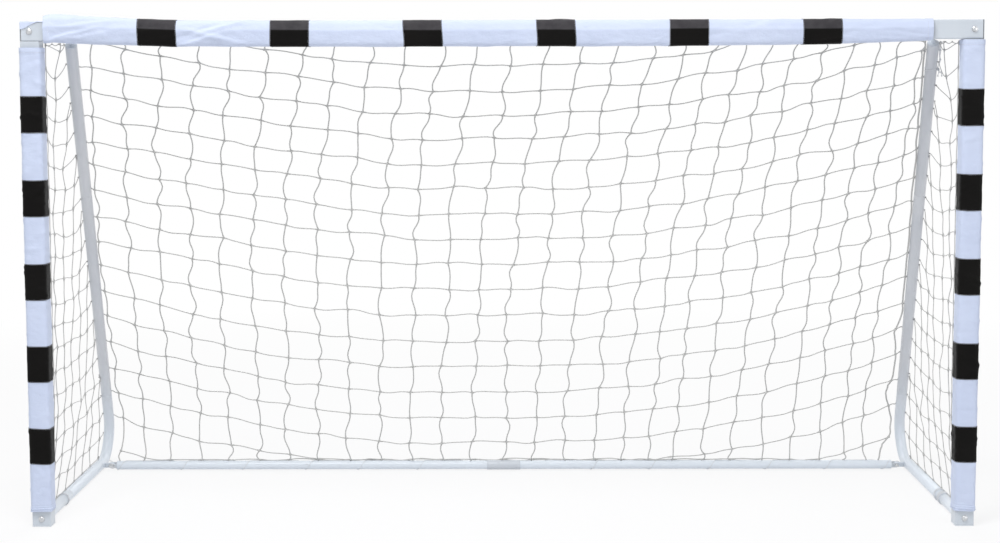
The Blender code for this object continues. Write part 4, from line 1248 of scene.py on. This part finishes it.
for side, sign in SIDES:
    rng = random.Random(61 if side == "left" else 67)
    columns = [column for column in range(12) if side_run(column, 0.12) < side_width(0.12) - 0.02]
    heights = [SIDE_LOW + SIDE_ROW * index for index in range(int((NET_TOP - SIDE_LOW) / SIDE_ROW) + 1)]
    crossed = {}
    for i in columns:
        for j, z in enumerate(heights):
            run = side_run(i, z)
            if run > side_width(z) - 0.012:
                continue
            inner = i > 0 and j > 0
            droop = (0.004 + 0.016 * z) * math.sin(math.pi * run / side_width(z)) if j else 0.0
            sway = rng.uniform(-0.006, 0.006) + 0.003 * (-1.0) ** (i + j)
            height = z - droop + rng.uniform(-0.005, 0.005) * inner
            away = rng.uniform(-0.004, 0.006) * inner
            crossed[i, j] = side_net_point(sign, run + sway * inner, height, away)
    lines = []
    for i in columns:
        spots = [crossed[i, j] for j in range(len(heights)) if (i, j) in crossed]
        head = side_column_top(i)
        spots.append(side_net_point(sign, side_run(i, head), head))
        bows = [(
            Vector((0.0, rng.uniform(-0.007, 0.007), 0.0)) * (i > 0),
            Vector((0.0, rng.uniform(-0.004, 0.004), 0.0))) for _ in spots]
        lines.append(run_through(spots, bows, SIDE_UPRIGHT))
    for j, z in enumerate(heights):
        spots = [crossed[i, j] for i in columns if (i, j) in crossed]
        tied_at = min(NET_TOP - 0.006, z + 0.004 + 0.010 * z * (j > 0))
        spots.append(side_net_point(sign, side_width(z), tied_at))
        bows = [slack(rng, 0.0, 0.004 if j else 0.0) for _ in spots]
        lines.append(run_through(spots, bows, SIDE_LEVEL))
    top_edge = [
        side_net_point(sign, side_width(NET_TOP) * share, NET_TOP - 0.002) for share in (0.0, 0.35, 0.7, 1.0)]
    lines.append(run_through(top_edge, [(Vector((0.0, 0.0, -0.006)), Vector())] * 4, SIDE_LEVEL))
    for (i, j), spot in crossed.items():
        if i and j:
            lines.append(knot_loop(spot, rng.uniform(-0.8, 0.8), 0.0036, 0.0010))
    made = strand_mesh(side + "_side_netting", lines, 7, net_twine)
    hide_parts(side + "_side_net")
    start = (sign * FOOT_X, POST_FACE + HINGE_DEPTH - 0.010, 0.0)
    end = (sign * FOOT_X, POST_FACE + HINGE_DEPTH + 0.160, 0.0)
    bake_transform(made)


# Lashing. A thin cord laces the back net to the bar: it runs along the top of each half and goes
# round it once in every twenty centimetres. More of it is wound round the legs and one stay.
lashing = laid("white_lashing_cord", (0.80, 0.82, 0.85), (0.68, 0.70, 0.73), 0.006)
LASH = 0.0010
LASH_PITCH = 0.205
LASH_TURN = 0.062
LASH_START = 0.150
LASH_END = 1.382
LASH_STEP = 0.030
for side, sign in SIDES:
    rng = random.Random(71 if side == "left" else 73)
    line = []
    x = LASH_START
    while x < LASH_END:
        start = x + LASH_PITCH - LASH_TURN + rng.uniform(-0.020, 0.020)
        places = list(np.arange(x, min(start, LASH_END), LASH_STEP))
        places += list(np.linspace(start, start + LASH_TURN, 25))
        for place in places:
            turned = clamp((place - start) / LASH_TURN)
            angle = math.tau * turned * sign
            rise = BAR_RADIUS + LASH * 0.9
            spot = BAR_LINE + Vector((0.0, math.sin(angle) * rise, math.cos(angle) * rise))
            line.append((Vector((sign * place, spot.y, spot.z)), LASH))
        x = start + LASH_TURN + 0.006
    made = strand_mesh(side + "_bar_lashing", [line], 6, lashing)
    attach(made, side + "_bar")

BUNDLE_PITCH = 0.0034
LEG_BUNDLES = {"left": ((0.310, 0.326),), "right": ((0.310, 0.342), (0.372, 0.388))}
for side, sign in SIDES:
    lines = []
    for low, high in LEG_BUNDLES[side]:
        turns = int((high - low) / BUNDLE_PITCH)
        line = []
        for step in range(turns * 20 + 1):
            angle = math.tau * step / 20.0 + 1.0
            depth = low + (high - low) * step / (turns * 20.0) + 0.0011 * math.sin(step * 0.37)
            rise = SIDE_RADIUS + LASH * (1.0 + 0.5 * (1.0 + math.sin(step * 0.113)))
            z = max(0.0013, HINGE_FOOT + math.cos(angle) * rise)
            line.append((Vector((sign * FOOT_X + math.sin(angle) * rise, POST_FACE + depth, z)), LASH))
        lines.append(line)
    made = strand_mesh(side + "_leg_lashing", lines, 6, lashing)
    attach(made, side + "_side")

# The cord's ends are knotted round the top of the right stay and hang from the crossbar in two strands.
rng = random.Random(89)
out_at, on_stay = stay_line(1.446)
heart = Vector((out_at, POST_FACE + on_stay, 1.446))
lines = []
for lift, lean in ((0.0, 0.16), (0.0030, -0.10)):
    ring = []
    for step in range(25):
        angle = math.tau * step / 24.0
        across, back = math.cos(angle), math.sin(angle)
        ring.append((heart + Vector((across * 0.0205, back * 0.0235, lift + lean * across * 0.02)), 0.0012))
    lines.append(ring)
knot = heart + Vector((0.0215, -0.004, 0.001))
for turn in (0.2, 1.3, 2.4):
    lines.append(knot_loop(knot, turn, 0.0048, 0.0013))
for across, top in ((0.0035, 1.532), (-0.0015, 1.534)):
    out_top, top_on_stay = stay_line(top)
    head = Vector((out_top + 0.0225 + across, POST_FACE + top_on_stay - 0.006, top))
    spots = [knot, knot.lerp(head, 0.35) + Vector((0.004, 0.0, 0.0)), knot.lerp(head, 0.7), head]
    lines.append(run_through(spots, [slack(rng, 0.002, 0.0)] * 4, 0.0012))
for lean in (-0.006, 0.007):
    end = knot + Vector((lean + 0.006, -0.002, -0.022))
    spots = [knot, knot.lerp(end, 0.5) + Vector((0.004, 0.0, 0.0)), end]
    lines.append(run_through(spots, [slack(rng, 0.001, 0.0)] * 3, 0.0011))
made = strand_mesh("right_stay_lashing", lines, 6, lashing)
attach(made, "right_side")
